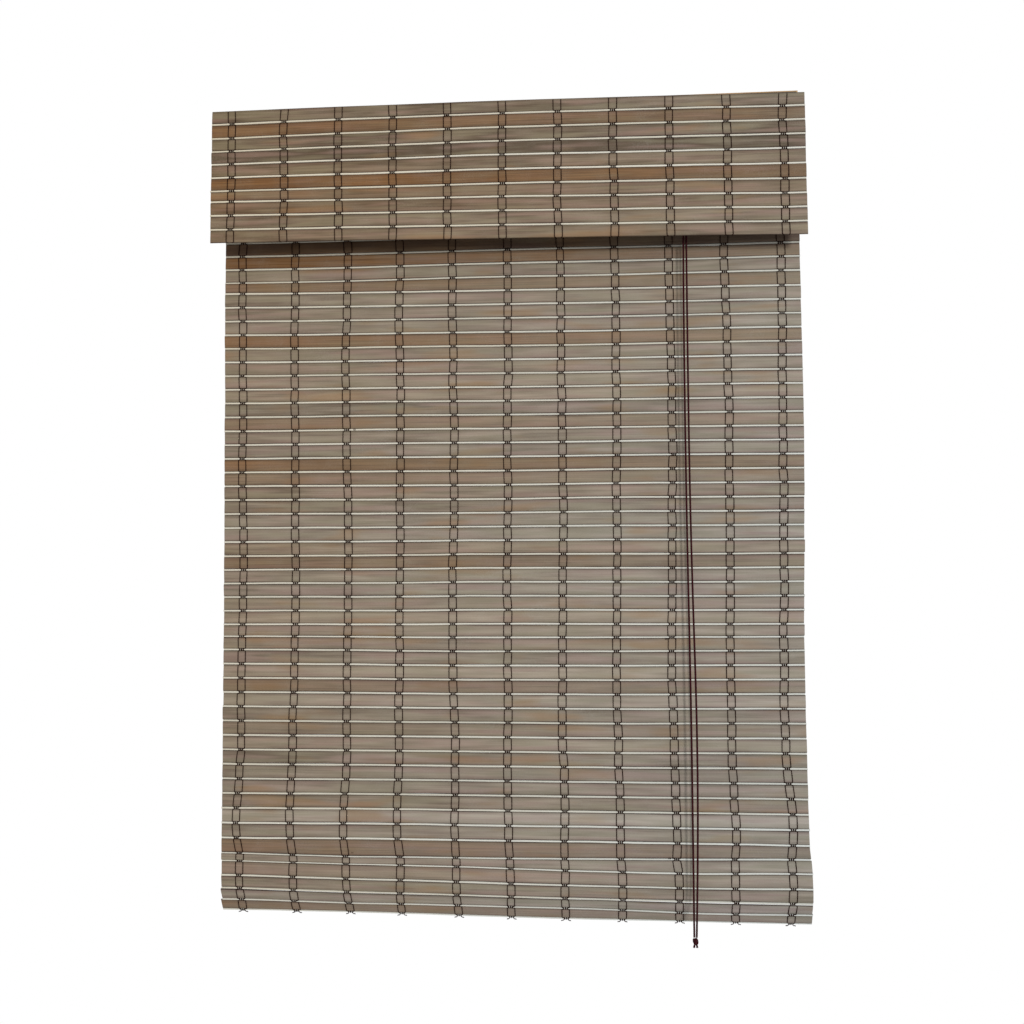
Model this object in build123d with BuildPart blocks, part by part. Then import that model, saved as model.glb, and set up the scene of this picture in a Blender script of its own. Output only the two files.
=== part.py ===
from build123d import *
import os
from math import cos, pi, radians, sin, tan

os.makedirs("parts", exist_ok=True)

# A woven bamboo blind that lifts in flat pleats. All sizes are in millimetres.
# The origin is the centre of the headrail's top face. +Z is up and the front faces -Y.

# Woven mat: one row is a flat slat with a thin round stick under it
valance_width = 600.0
valance_margin = 21.0       # from the valance's end to its outermost thread column
shade_width = 590.0
shade_margin = 19.0
slat_width = 11.6
slat_thickness = 1.5
slat_crown = 0.4            # how far the front face falls away towards the long edges
stick_diameter = 2.0
stick_sides = 8
weave_gap = 0.3             # between a slat and a stick
thread_columns = 11
strand_spacing = 7.6        # between the two front strands of one column
strand_width = 0.9
strand_thickness = 0.4
strand_clearance = 0.05     # between a strand and the sticks that it crosses

# Rows, counted down from the top of the mat
fixed_rows = 10             # stapled to the headrail and hidden behind the valance
valance_rows = 10
upper_panel_rows = 6        # each of the two panels in the top pleat
lower_panel_rows = 7        # each of the two panels in the other pleats
hem_straight_rows = 3
mat_top_drop = 2.0          # the mat starts this far below the headrail's top

# Folds
fold_clearance = 0.2        # from a hinge axis to the nearest strand
hem_curl = (8.0, 29.0, 31.0)    # the lowest rows curl back, in degrees

# Headrail and what is fixed to it
rail_end_inset = 1.0        # the mat reaches this far past each end of the headrail
rail_width = shade_width - 2 * rail_end_inset
rail_depth = 36.0
rail_height = 20.0
rail_edge_radius = 1.5
seat_gap = 0.3              # between the mat and the headrail
tape_thickness = 1.5
tape_height = 16.0
tape_gap = 0.05
mounting_hole_diameter = 5.0
mounting_hole_spacing = 480.0
mounting_head_diameter = 11.0
mounting_head_depth = 3.0
drill_clearance = 0.05      # radial play round what is driven into the wood
staple_crown = 11.0
staple_wire = 0.7
staple_leg = 8.0

# Lift cords, their rings and their guide eyes
lift_x = 158.0              # each lift line stands this far from the middle
cord_diameter = 2.0         # one cord on each side runs from its lift line to its pull
ring_outer = 10.0
ring_inner = 6.0
ring_thickness = 1.6
ring_gap = 0.3              # between a ring and the stick that it is tied to
bead_diameter = 8.0
bead_height = 9.0
eye_outer = 9.0
eye_wire = 1.6
eye_shank = 9.0
eye_shank_diameter = 2.0
eye_back = 9.0              # from the headrail's centre back to the guide eyes
eye_bend = 7.0              # the largest bend where a cord turns beside its guide eye
turn_drop = 12.0            # from a guide eye down to where its lift cord starts to shorten
cord_lane = 1.4             # the two cords run this far each side of the lock's middle
bead_taper = 8.0            # in degrees
pass_hole = 3.0             # square opening in one slat where each lift cord goes through

# Cord lock under the headrail
lock_length = 27.0
lock_width = 13.0
lock_height = 17.0
lock_wall = 1.5
lock_x = 182.0              # middle of the housing
lock_y = 2.0
lock_end_inset = 4.0        # from the housing's ends to its screws, and from its middle to the pulley
pulley_radius = 5.0
pulley_flange = 0.7
pulley_axle_diameter = 2.4
running_clearance = 0.06
side_play = 0.35
roller_diameter = 4.4
roller_sides = 12
roller_pin_diameter = 1.8
roller_travel = 3.0
roller_slope = 60.0         # of the slots that guide the roller, in degrees above level
roller_slot_clearance = 0.1
lock_screw_diameter = 2.4
lock_screw_head = 4.6
lock_screw_head_height = 1.2
lock_screw_head_taper = 20.0    # in degrees

# Pull cords
pull_gap = 0.3              # between a cord's fixed top and its free drop
pull_cut_drop = 1.0         # the cords leave the valance this far under its lower edge
knot_diameter = 6.4
knot_height = 7.5
knot_end_share = 0.62       # the knot's radius at its ends, as a share of its middle
knot_top = -822.0
knot_y = 2.1
left_bottom_x = 179.7       # where each pull cord enters the knot
right_bottom_x = 182.0
bend_slack = 0.05           # the cords bend this much closer than they lie on the pulley

# Worked out from the sizes above
row_pitch = slat_width + stick_diameter + 2 * weave_gap
strand_outer = stick_diameter / 2 + strand_clearance + strand_thickness
fold_offset = strand_outer + fold_clearance
mat_y = rail_depth / 2 + seat_gap + strand_outer
valance_y = -(rail_depth / 2 + tape_thickness + 2 * tape_gap + seat_gap + strand_outer)
shade_column_pitch = (shade_width - 2 * shade_margin) / (thread_columns - 1)
hinge_front_y = mat_y - fold_offset
hinge_back_y = mat_y + fold_offset
ring_reach = stick_diameter / 2 + ring_gap + ring_outer / 2
ring_y = mat_y + ring_reach


def row_plane(back, height, tilt=0.0):
    """Plane across a row at its top edge: X is towards the back, Y is up the row."""
    lean = radians(tilt)
    return Plane(origin=(0, back, height), x_dir=(0, cos(lean), sin(lean)), z_dir=(1, 0, 0))


def rows_of(plane, count):
    """Planes of the rows in one flat run."""
    return [Plane(plane.from_local_coords((0, -row * row_pitch, 0)), plane.x_dir, plane.z_dir)
            for row in range(count)]


def leaning_runs(back, top, runs):
    """Planes of flat runs, each as (tilt, rows), with room for the threads in every bend."""
    planes = []
    for (tilt, rows), (next_tilt, _) in zip(runs, runs[1:] + runs[-1:]):
        planes.append(row_plane(back, top, tilt))
        bend = strand_outer * tan(radians(abs(next_tilt - tilt)) / 2)
        run = rows * row_pitch + bend
        back += run * sin(radians(tilt)) + bend * sin(radians(next_tilt))
        top -= run * cos(radians(tilt)) + bend * cos(radians(next_tilt))
    return planes


def finish(part, name):
    """Label a piece and write it."""
    part.label = name
    export_step(part, f"parts/{name}.step")


def make_mat(
    name, runs, pass_row=None, width=shade_width, margin=shade_margin, ends_in_slat=False
):
    """Slats, sticks and threads of one stretch of mat, from its flat runs as (plane, rows)."""
    rows = [row for plane, count in runs for row in rows_of(plane, count)]
    stick_rows = rows[:-1] if ends_in_slat else rows
    missing = stick_diameter + weave_gap if ends_in_slat else 0.0
    column_pitch = (width - 2 * margin) / (thread_columns - 1)
    column_places = [margin - width / 2 + column * column_pitch for column in range(thread_columns)]
    crest = -slat_thickness / 2
    shoulder = crest + slat_crown
    behind = slat_thickness / 2
    top = -weave_gap / 2
    bottom = top - slat_width
    bevel = slat_width / 4
    with BuildPart() as slats:
        with BuildSketch(*rows):
            with BuildLine():
                Polyline(
                    (behind, top), (shoulder, top), (crest, top - bevel),
                    (crest, bottom + bevel), (shoulder, bottom), (behind, bottom), close=True,
                )
            make_face()
        extrude(amount=width / 2, both=True)
        if pass_row is not None:
            with Locations((-lift_x, mat_y, pass_row), (lift_x, mat_y, pass_row)):
                Box(pass_hole, slat_thickness * 3, pass_hole, mode=Mode.SUBTRACT)
    finish(slats.part, f"{name}_slats")

    with BuildPart() as sticks:
        with BuildSketch(*stick_rows):
            with Locations((0, bottom - weave_gap - stick_diameter / 2)):
                RegularPolygon(
                    stick_diameter / 2, stick_sides, major_radius=False, rotation=180 / stick_sides
                )
        extrude(amount=width / 2, both=True)
    finish(sticks.part, f"{name}_sticks")

    reach = stick_diameter / 2 + strand_clearance + strand_thickness / 2
    front_places = [column + side * strand_spacing / 2 for column in column_places for side in (-1, 1)]
    with BuildPart() as threads:
        for plane, count in runs:
            run_length = count * row_pitch - missing
            for side, places in ((-1, front_places), (1, column_places)):
                with BuildSketch(*[plane.offset(place) for place in places]):
                    with Locations((side * reach, -run_length / 2)):
                        Rectangle(strand_thickness, run_length - weave_gap)
        extrude(amount=strand_width / 2, both=True, clean=False)
    finish(threads.part, f"{name}_threads")


def make_flat_mat(name, top, count, pass_row=None):
    """A stretch of the shade that hangs straight."""
    make_mat(name, [(row_plane(mat_y, top), count)], pass_row)


def make_rings(name, back, row_top):
    """A pair of lift rings behind a row, level with its stick."""
    level = row_top - weave_gap * 1.5 - slat_width - stick_diameter / 2
    with BuildPart() as rings:
        with BuildSketch(Plane.XY.offset(level - ring_thickness / 2)):
            with Locations((-lift_x, back), (lift_x, back)):
                Circle(ring_outer / 2)
                Circle(ring_inner / 2, mode=Mode.SUBTRACT)
        extrude(amount=ring_thickness)
    finish(rings.part, name)
    return level


# Heights of the row boundaries where the mat folds
mat_top = -mat_top_drop
fold_heights = [mat_top - fixed_rows * row_pitch]
for count in (upper_panel_rows, upper_panel_rows, 1, lower_panel_rows, lower_panel_rows,
              1, lower_panel_rows, lower_panel_rows):
    fold_heights.append(fold_heights[-1] - count * row_pitch)

# Headrail
guide_level = -rail_height - eye_outer / 2
lock_screw_places = [
    (lock_x + side * (lock_length / 2 - lock_end_inset), lock_y) for side in (-1, 1)
]
with BuildPart() as headrail:
    with BuildSketch(Plane.YZ.offset(-rail_width / 2)):
        with Locations((0, -rail_height / 2)):
            RectangleRounded(rail_depth, rail_height, rail_edge_radius)
    extrude(amount=rail_width)
    with Locations(Location((0, 0, -rail_height), (180, 0, 0))):
        with GridLocations(mounting_hole_spacing, 1, 2, 1):
            CounterSinkHole(
                mounting_hole_diameter / 2, mounting_head_diameter / 2, depth=rail_height,
                counter_sink_angle=90,
            )
    with BuildSketch(Plane.XY.offset(-rail_height)):
        with Locations((-lift_x, eye_back), (lift_x, eye_back)):
            Circle(eye_shank_diameter / 2 + drill_clearance)
    extrude(amount=eye_shank + drill_clearance, mode=Mode.SUBTRACT)
    with BuildSketch(Plane.XY.offset(-rail_height)):
        with Locations(*lock_screw_places):
            Circle(lock_screw_diameter / 2 + drill_clearance)
    extrude(amount=eye_shank + drill_clearance, mode=Mode.SUBTRACT)
finish(headrail.part, "headrail")

# Hook-and-loop tape that carries the valance
with BuildPart() as valance_tape:
    with BuildSketch(Plane.XZ.offset(rail_depth / 2 + tape_gap)):
        with Locations((0, -rail_height / 2)):
            Rectangle(rail_width - 2 * rail_edge_radius, tape_height)
    extrude(amount=tape_thickness)
finish(valance_tape.part, "valance_tape")

# Staples through the top slat into the back of the headrail
staple_level = mat_top - weave_gap / 2 - slat_width / 2
staple_back = mat_y + slat_thickness / 2 + strand_clearance
with BuildPart() as mat_staples:
    with BuildSketch(Plane.XY.offset(staple_level)):
        with GridLocations(shade_column_pitch, 1, thread_columns - 1, 1):
            with Locations((0, staple_back + staple_wire / 2)):
                Rectangle(staple_crown, staple_wire)
            for side in (-1, 1):
                with Locations((side * (staple_crown - staple_wire) / 2, staple_back - staple_leg / 2)):
                    Rectangle(staple_wire, staple_leg)
    extrude(amount=staple_wire / 2, both=True)
finish(mat_staples.part, "mat_staples")

# Mat, from the top down. Panels fold forward and back in turn about the fold heights.
make_mat(
    "valance", [(row_plane(valance_y, 0.0), valance_rows)],
    width=valance_width, margin=valance_margin, ends_in_slat=True,
)
make_flat_mat("top", mat_top, fixed_rows, pass_row=guide_level)
make_flat_mat("panel_1", fold_heights[0], upper_panel_rows)
make_flat_mat("panel_2", fold_heights[1], upper_panel_rows)
make_flat_mat("ring_row_1", fold_heights[2], 1)
make_flat_mat("panel_3", fold_heights[3], lower_panel_rows)
make_flat_mat("panel_4", fold_heights[4], lower_panel_rows)
make_flat_mat("ring_row_2", fold_heights[5], 1)
make_flat_mat("panel_5", fold_heights[6], lower_panel_rows)
make_flat_mat("panel_6", fold_heights[7], lower_panel_rows)

# Hem: straight rows, then rows that curl back
hem_runs = [(0.0, hem_straight_rows)] + [(tilt, 1) for tilt in hem_curl]
hem_planes = leaning_runs(mat_y, fold_heights[8], hem_runs)
make_mat("hem", [(plane, count) for plane, (_, count) in zip(hem_planes, hem_runs)])

make_rings("ring_row_1_rings", ring_y, fold_heights[2])
make_rings("ring_row_2_rings", ring_y, fold_heights[5])
ring_3_level = make_rings("hem_rings", ring_y, fold_heights[8])

# Stop beads on the ends of the lift cords, under the lowest rings
bead_top = ring_3_level - ring_thickness / 2 - ring_gap
with BuildPart() as stop_beads:
    with BuildSketch(Plane.XY.offset(bead_top)):
        with Locations((-lift_x, ring_y), (lift_x, ring_y)):
            Circle(bead_diameter / 2)
    extrude(amount=-bead_height, taper=bead_taper)
finish(stop_beads.part, "stop_beads")

# Guide eyes, screwed up into the headrail
eye_radius = (eye_outer - eye_wire) / 2
for name, side in (("guide_eye_left", -1), ("guide_eye_right", 1)):
    with BuildPart() as guide_eye:
        with BuildSketch(Plane.XZ.offset(-eye_back)):
            with Locations((side * lift_x, guide_level)):
                Circle(eye_outer / 2)
                Circle(eye_outer / 2 - eye_wire, mode=Mode.SUBTRACT)
        extrude(amount=eye_wire / 2, both=True)
        with BuildSketch(Plane.XY.offset(guide_level + eye_outer / 2 - eye_wire / 2)):
            with Locations((side * lift_x, eye_back)):
                Circle(eye_shank_diameter / 2)
        extrude(amount=eye_shank)
    finish(guide_eye.part, name)

# Cord lock: a folded housing, its pulley on an axle, and a roller that grips the cords
lock_top = -rail_height - tape_gap
lock_left = lock_x - lock_length / 2
cord_level = guide_level
pulley_x = lock_x - lock_end_inset
pulley_z = cord_level - cord_diameter / 2 - strand_clearance - pulley_radius
drop_x = pulley_x + pulley_radius + strand_clearance + cord_diameter / 2
inner_width = lock_width - 2 * lock_wall
roller_x = drop_x + cord_diameter / 2 + seat_gap + roller_diameter / 2 + roller_travel * cos(
    radians(roller_slope)
)
roller_z = pulley_z - roller_travel * sin(radians(roller_slope))
slope = radians(roller_slope)
with BuildPart() as lock_housing:
    with BuildSketch(Plane.XZ.offset(-lock_y)):
        with Locations((lock_x, lock_top - lock_height / 2)):
            RectangleRounded(lock_length, lock_height, lock_wall)
    extrude(amount=lock_width / 2, both=True)
    with BuildSketch(Plane.XZ.offset(-lock_y)):
        with Locations((lock_x, lock_top - lock_wall - lock_height / 2)):
            Rectangle(lock_length, lock_height)
    extrude(amount=inner_width / 2, both=True, mode=Mode.SUBTRACT)
    with BuildSketch(Plane.XZ.offset(-lock_y)):
        with Locations((pulley_x, pulley_z)):
            Circle(pulley_axle_diameter / 2 + running_clearance)
    extrude(amount=lock_width, both=True, mode=Mode.SUBTRACT)
    with BuildSketch(Plane.XZ.offset(-lock_y)):
        with Locations(
            Location((roller_x - roller_travel / 2 * cos(slope), roller_z + roller_travel / 2 * sin(slope), 0),
                     (0, 0, -roller_slope))
        ):
            SlotCenterToCenter(roller_travel, roller_pin_diameter + 2 * roller_slot_clearance)
    extrude(amount=lock_width, both=True, mode=Mode.SUBTRACT)
    with BuildSketch(Plane.XY.offset(lock_top - lock_wall)):
        with Locations(*lock_screw_places):
            Circle(lock_screw_diameter / 2 + drill_clearance)
    extrude(amount=lock_wall, mode=Mode.SUBTRACT)
finish(lock_housing.part, "lock_housing")

with BuildPart() as lock_axle:
    with BuildSketch(Plane.XZ.offset(-lock_y)):
        with Locations((pulley_x, pulley_z)):
            Circle(pulley_axle_diameter / 2)
    extrude(amount=lock_width / 2, both=True)
finish(lock_axle.part, "lock_axle")

pulley_half_width = inner_width / 2 - side_play
with BuildPart() as lock_pulley:
    with BuildSketch(Plane.XZ.offset(-lock_y)):
        with Locations((pulley_x, pulley_z)):
            Circle(pulley_radius)
            Circle(pulley_axle_diameter / 2 + running_clearance, mode=Mode.SUBTRACT)
    extrude(amount=pulley_half_width, both=True)
    for side in (-1, 1):
        with BuildSketch(Plane.XZ.offset(-lock_y + side * (pulley_half_width - pulley_flange / 2))):
            with Locations((pulley_x, pulley_z)):
                Circle(pulley_radius + pulley_flange)
                Circle(pulley_axle_diameter / 2 + running_clearance, mode=Mode.SUBTRACT)
        extrude(amount=pulley_flange / 2, both=True)
finish(lock_pulley.part, "lock_pulley")

with BuildPart() as lock_roller:
    with BuildSketch(Plane.XZ.offset(-lock_y)):
        with Locations((roller_x, roller_z)):
            RegularPolygon(roller_diameter / 2, roller_sides)
    extrude(amount=inner_width / 2 - side_play, both=True)
    with BuildSketch(Plane.XZ.offset(-lock_y)):
        with Locations((roller_x, roller_z)):
            Circle(roller_pin_diameter / 2)
    extrude(amount=lock_width / 2, both=True)
finish(lock_roller.part, "lock_roller")

with BuildPart() as lock_screws:
    with BuildSketch(Plane.XY.offset(lock_top - lock_wall - tape_gap)):
        with Locations(*lock_screw_places):
            Circle(lock_screw_diameter / 2)
    extrude(amount=eye_shank - tape_gap)
    with BuildSketch(Plane.XY.offset(lock_top - lock_wall - tape_gap)):
        with Locations(*lock_screw_places):
            Circle(lock_screw_head / 2)
    extrude(amount=-lock_screw_head_height, taper=lock_screw_head_taper)
finish(lock_screws.part, "lock_screws")


def corner_radii(points, largest):
    """Radius of each corner of a cord: as large as its two runs allow, up to a limit."""
    radii = []
    for before, corner, after in zip(points, points[1:], points[2:]):
        first = Vector(*corner) - Vector(*before)
        second = Vector(*after) - Vector(*corner)
        turn = radians(first.get_angle(second))
        radii.append(min(largest, 0.45 * min(first.length, second.length) / tan(turn / 2)))
    return radii


def make_cord(name, points, largest=100000.0, first_radius=None):
    """A cord laid along straight runs with tangent arcs at their corners."""
    radii = corner_radii(points, largest)
    if first_radius is not None:
        radii[0] = first_radius
    with BuildPart() as cord:
        with BuildLine() as route:
            FilletPolyline(*points, radius=radii)
        with BuildSketch(Plane(origin=route.line @ 0, z_dir=route.line % 0)):
            Circle(cord_diameter / 2)
        sweep()
    finish(cord.part, name)
    length = route.wire().length
    share = cord.part.volume / (pi * (cord_diameter / 2) ** 2 * length)
    print(name, "radii", [round(radius, 1) for radius in radii], "length", round(length, 1),
          "volume share", round(share, 4))


# Lift cords: straight up behind the mat through the rings, then forward through its top
lift_turn = cord_level - turn_drop
lift_foot = bead_top + strand_clearance
for name, side in (("lift_cord_left", -1), ("lift_cord_right", 1)):
    with BuildPart() as lift_cord:
        with BuildSketch(Plane.XY.offset(lift_foot)):
            with Locations((side * lift_x, ring_y)):
                Circle(cord_diameter / 2)
        extrude(amount=lift_turn - lift_foot)
    finish(lift_cord.part, name)
    print(name, "straight, length", round(lift_turn - lift_foot, 1))
left_lane = lock_y - cord_lane
right_lane = lock_y + cord_lane
for name, start, lane in (
    ("lift_run_left", -lift_x, left_lane), ("lift_run_right", lift_x, right_lane)
):
    make_cord(
        name,
        [
            (start, ring_y, lift_turn), (start, ring_y, cord_level),
            (start, lane, cord_level), (pulley_x, lane, cord_level),
        ],
        eye_bend,
    )

# Pull cords: over the pulley, down behind the valance, then free in front of the mat
pull_bend = pulley_radius + strand_clearance + cord_diameter / 2 - bend_slack
pull_cut = -valance_rows * row_pitch - pull_cut_drop
make_cord(
    "pull_cord_left_top",
    [
        (pulley_x, left_lane, cord_level), (drop_x, left_lane, cord_level),
        (drop_x - 0.2, 0.7, -60.0), (180.0, 2.0, pull_cut),
    ],
    first_radius=pull_bend,
)
make_cord(
    "pull_cord_right_top",
    [
        (pulley_x, right_lane, cord_level), (drop_x, right_lane, cord_level),
        (drop_x + 0.1, 3.4, -60.0), (183.6, 3.0, pull_cut),
    ],
    first_radius=pull_bend,
)
make_cord(
    "pull_cord_left_drop",
    [
        (180.0, 2.0, pull_cut - pull_gap), (179.1, 2.4, -400.0), (180.5, 2.4, -600.0),
        (180.0, 2.1, -750.0), (left_bottom_x, knot_y, knot_top),
    ],
)
make_cord(
    "pull_cord_right_drop",
    [
        (183.6, 3.0, pull_cut - pull_gap), (182.7, 2.9, -360.0), (183.6, 2.8, -480.0),
        (186.1, 2.7, -625.0), (184.6, 2.4, -750.0), (right_bottom_x, knot_y, knot_top),
    ],
)

# Knot that ties the two pull cords together
knot_x = (left_bottom_x + right_bottom_x) / 2
with BuildPart() as cord_knot:
    with BuildSketch(Plane(origin=(knot_x, knot_y, 0), x_dir=(1, 0, 0), z_dir=(0, -1, 0))):
        with BuildLine():
            rim = knot_diameter / 2
            foot = knot_top - knot_height
            end_rim = rim * knot_end_share
            top_edge = Line((0, knot_top), (end_rim, knot_top))
            side_edge = ThreePointArc(
                top_edge @ 1, (rim, (knot_top + foot) / 2), (end_rim, foot)
            )
            Polyline(side_edge @ 1, (0, foot), (0, knot_top))
        make_face()
    revolve(axis=Axis((knot_x, knot_y, 0), (0, 0, 1)))
finish(cord_knot.part, "cord_knot")
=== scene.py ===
"""A woven bamboo blind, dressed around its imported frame. All sizes are in metres."""

from __future__ import annotations

import logging
import math
from dataclasses import dataclass, field, replace
from enum import Enum

import bpy
import numpy as np
from mathutils import Matrix, Vector

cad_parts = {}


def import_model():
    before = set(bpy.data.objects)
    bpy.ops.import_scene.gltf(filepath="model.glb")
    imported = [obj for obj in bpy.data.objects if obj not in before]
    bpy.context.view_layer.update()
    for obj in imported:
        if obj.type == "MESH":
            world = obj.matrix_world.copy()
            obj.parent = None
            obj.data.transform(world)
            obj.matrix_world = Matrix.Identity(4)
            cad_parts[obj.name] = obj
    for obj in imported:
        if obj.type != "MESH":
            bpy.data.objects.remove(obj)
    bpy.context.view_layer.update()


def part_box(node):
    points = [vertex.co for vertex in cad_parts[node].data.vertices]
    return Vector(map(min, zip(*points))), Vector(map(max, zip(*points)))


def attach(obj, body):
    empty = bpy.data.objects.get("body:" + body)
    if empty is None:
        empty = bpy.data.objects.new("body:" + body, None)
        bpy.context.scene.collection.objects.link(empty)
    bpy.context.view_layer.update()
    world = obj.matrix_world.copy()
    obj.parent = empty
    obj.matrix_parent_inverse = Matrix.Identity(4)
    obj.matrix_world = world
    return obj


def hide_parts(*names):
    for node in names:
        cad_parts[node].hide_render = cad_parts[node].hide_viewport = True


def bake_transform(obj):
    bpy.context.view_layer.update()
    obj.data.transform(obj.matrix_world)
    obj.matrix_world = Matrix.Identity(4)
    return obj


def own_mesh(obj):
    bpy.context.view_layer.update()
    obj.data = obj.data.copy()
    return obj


log = logging.getLogger("bamboo_blind")
MM = 0.001
TAU = 2 * math.pi
Colour = tuple[float, float, float, float]


def srgb(red: int, green: int, blue: int) -> Colour:
    """A colour as the shaders take it.

    Args:
        red, green, blue: the colour's parts as seen, from 0 to 255.

    Returns:
        The same colour in linear light, with full alpha.
    """
    parts = [part / 255 for part in (red, green, blue)]
    linear = [part / 12.92 if part <= 0.04045 else ((part + 0.055) / 1.055) ** 2.4 for part in parts]
    return (linear[0], linear[1], linear[2], 1.0)


# ---- Sizes that the whole blind shares


@dataclass(frozen=True)
class Weave:
    """Sizes of one woven row: a flat slat with a round stick under it, bound by brown thread."""

    width: float = 590 * MM
    pitch: float = 14.2 * MM
    slat_width: float = 12.3 * MM
    slat_thickness: float = 1.5 * MM
    slat_middle: float = 5.95 * MM
    stick_middle: float = 13.05 * MM
    stick_radius: float = 1.12 * MM
    column_count: int = 11
    side_margin: float = 19 * MM
    thread_radius: float = 0.46 * MM
    tie_swell: float = 0.5
    mat_back: float = 19.75 * MM
    mat_top: float = -2 * MM
    valance_back: float = -21.35 * MM
    bend_room: float = 1.45 * MM

    def columns(self) -> np.ndarray:
        """Where the thread columns stand across the mat."""
        half = self.width / 2 - self.side_margin
        return np.linspace(-half, half, self.column_count)


@dataclass(frozen=True)
class Hang:
    """How a mat hangs off true, in millimetres at some places across it and depths down it."""

    places: tuple[float, ...]
    depths: tuple[float, ...]
    rises: tuple[tuple[float, ...], ...]
    edge_shifts: tuple[tuple[float, ...], tuple[float, ...]]

    def moved(self, across: np.ndarray, height: np.ndarray) -> tuple[np.ndarray, np.ndarray]:
        """How far points move.

        Args:
            across: where the points stand across the mat.
            height: how high they are.

        Returns:
            Their move to the right and their rise, in metres.
        """
        depth = -height / MM
        column = np.interp(across / MM, self.places, np.arange(len(self.places)))
        rise = np.zeros(np.broadcast(across, height).shape)
        for place in range(len(self.places)):
            here = np.interp(depth, self.depths, [row[place] for row in self.rises])
            rise += np.clip(1 - np.abs(column - place), 0, 1) * here
        share = np.clip((across / (295 * MM) + 1) / 2, 0, 1)
        left, right = (np.interp(depth, self.depths, shifts) for shifts in self.edge_shifts)
        return ((1 - share) * left + share * right) * MM, rise * MM


@dataclass(frozen=True)
class Run:
    """Rows of mat that lie in one plane."""

    back: float
    top: float
    rows: int
    tilt: float = 0.0
    first: int = 0


# ---- Meshes


def tube_faces(tubes: int, stations: int, around: int, closed: bool = False) -> np.ndarray:
    """Side faces of several tubes whose points are laid out as (tube, station, around).

    Args:
        tubes: how many tubes there are.
        stations: rings of points along each tube.
        around: points in each ring.
        closed: whether the last ring joins the first.

    Returns:
        The quads along the sides.
    """
    grid = np.arange(tubes * stations * around).reshape(tubes, stations, around)
    ahead = np.roll(grid, -1, axis=1) if closed else grid[:, 1:]
    here = grid if closed else grid[:, :-1]
    quads = np.stack([here, np.roll(here, -1, axis=2), np.roll(ahead, -1, axis=2), ahead], axis=-1)
    return quads.reshape(-1, 4)


def tube_rings(paths: np.ndarray, radii: np.ndarray, around: int, start_normal: tuple[float, float, float],
               lobes: int = 0, lobe_depth: float = 0.0, twist: np.ndarray | None = None) -> np.ndarray:
    """Rings of points round several paths at once.

    Args:
        paths: points along the paths, as (tube, station, 3).
        radii: radius at each station, as (tube, station).
        around: points in each ring.
        start_normal: a direction across the first run of the paths.
        lobes: how many rounded strands the section has.
        lobe_depth: how deep the grooves between the strands are, as a share of the radius.
        twist: how far the section has turned at each station, in radians.

    Returns:
        Points as (tube, station, around, 3).
    """
    along = np.gradient(paths, axis=1)
    along /= np.linalg.norm(along, axis=2, keepdims=True) + 1e-12
    normals = np.empty_like(paths)
    normal = np.broadcast_to(np.array(start_normal, float), paths[:, 0].shape)
    for station in range(paths.shape[1]):
        tangent = along[:, station]
        normal = normal - (normal * tangent).sum(1, keepdims=True) * tangent
        normal = normal / (np.linalg.norm(normal, axis=1, keepdims=True) + 1e-12)
        normals[:, station] = normal
    sides = np.cross(along, normals)
    angles = np.linspace(0, TAU, around, endpoint=False)
    turn = np.zeros(paths.shape[1]) if twist is None else twist
    phase = angles[None, :] + turn[:, None]
    swell = 1 - lobe_depth * (0.5 - 0.5 * np.cos(lobes * angles)) if lobes else np.ones(around)
    across = radii[..., None] * swell[None, None, :]
    return (paths[:, :, None] + normals[:, :, None] * (across * np.cos(phase)[None])[..., None]
            + sides[:, :, None] * (across * np.sin(phase)[None])[..., None])


def distances(points: np.ndarray) -> np.ndarray:
    """How far along a line each of its points stands.

    Args:
        points: the line's points.

    Returns:
        The distance from the first point to each one.
    """
    return np.concatenate([[0], np.cumsum(np.linalg.norm(np.diff(points, axis=0), axis=1))])


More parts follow.
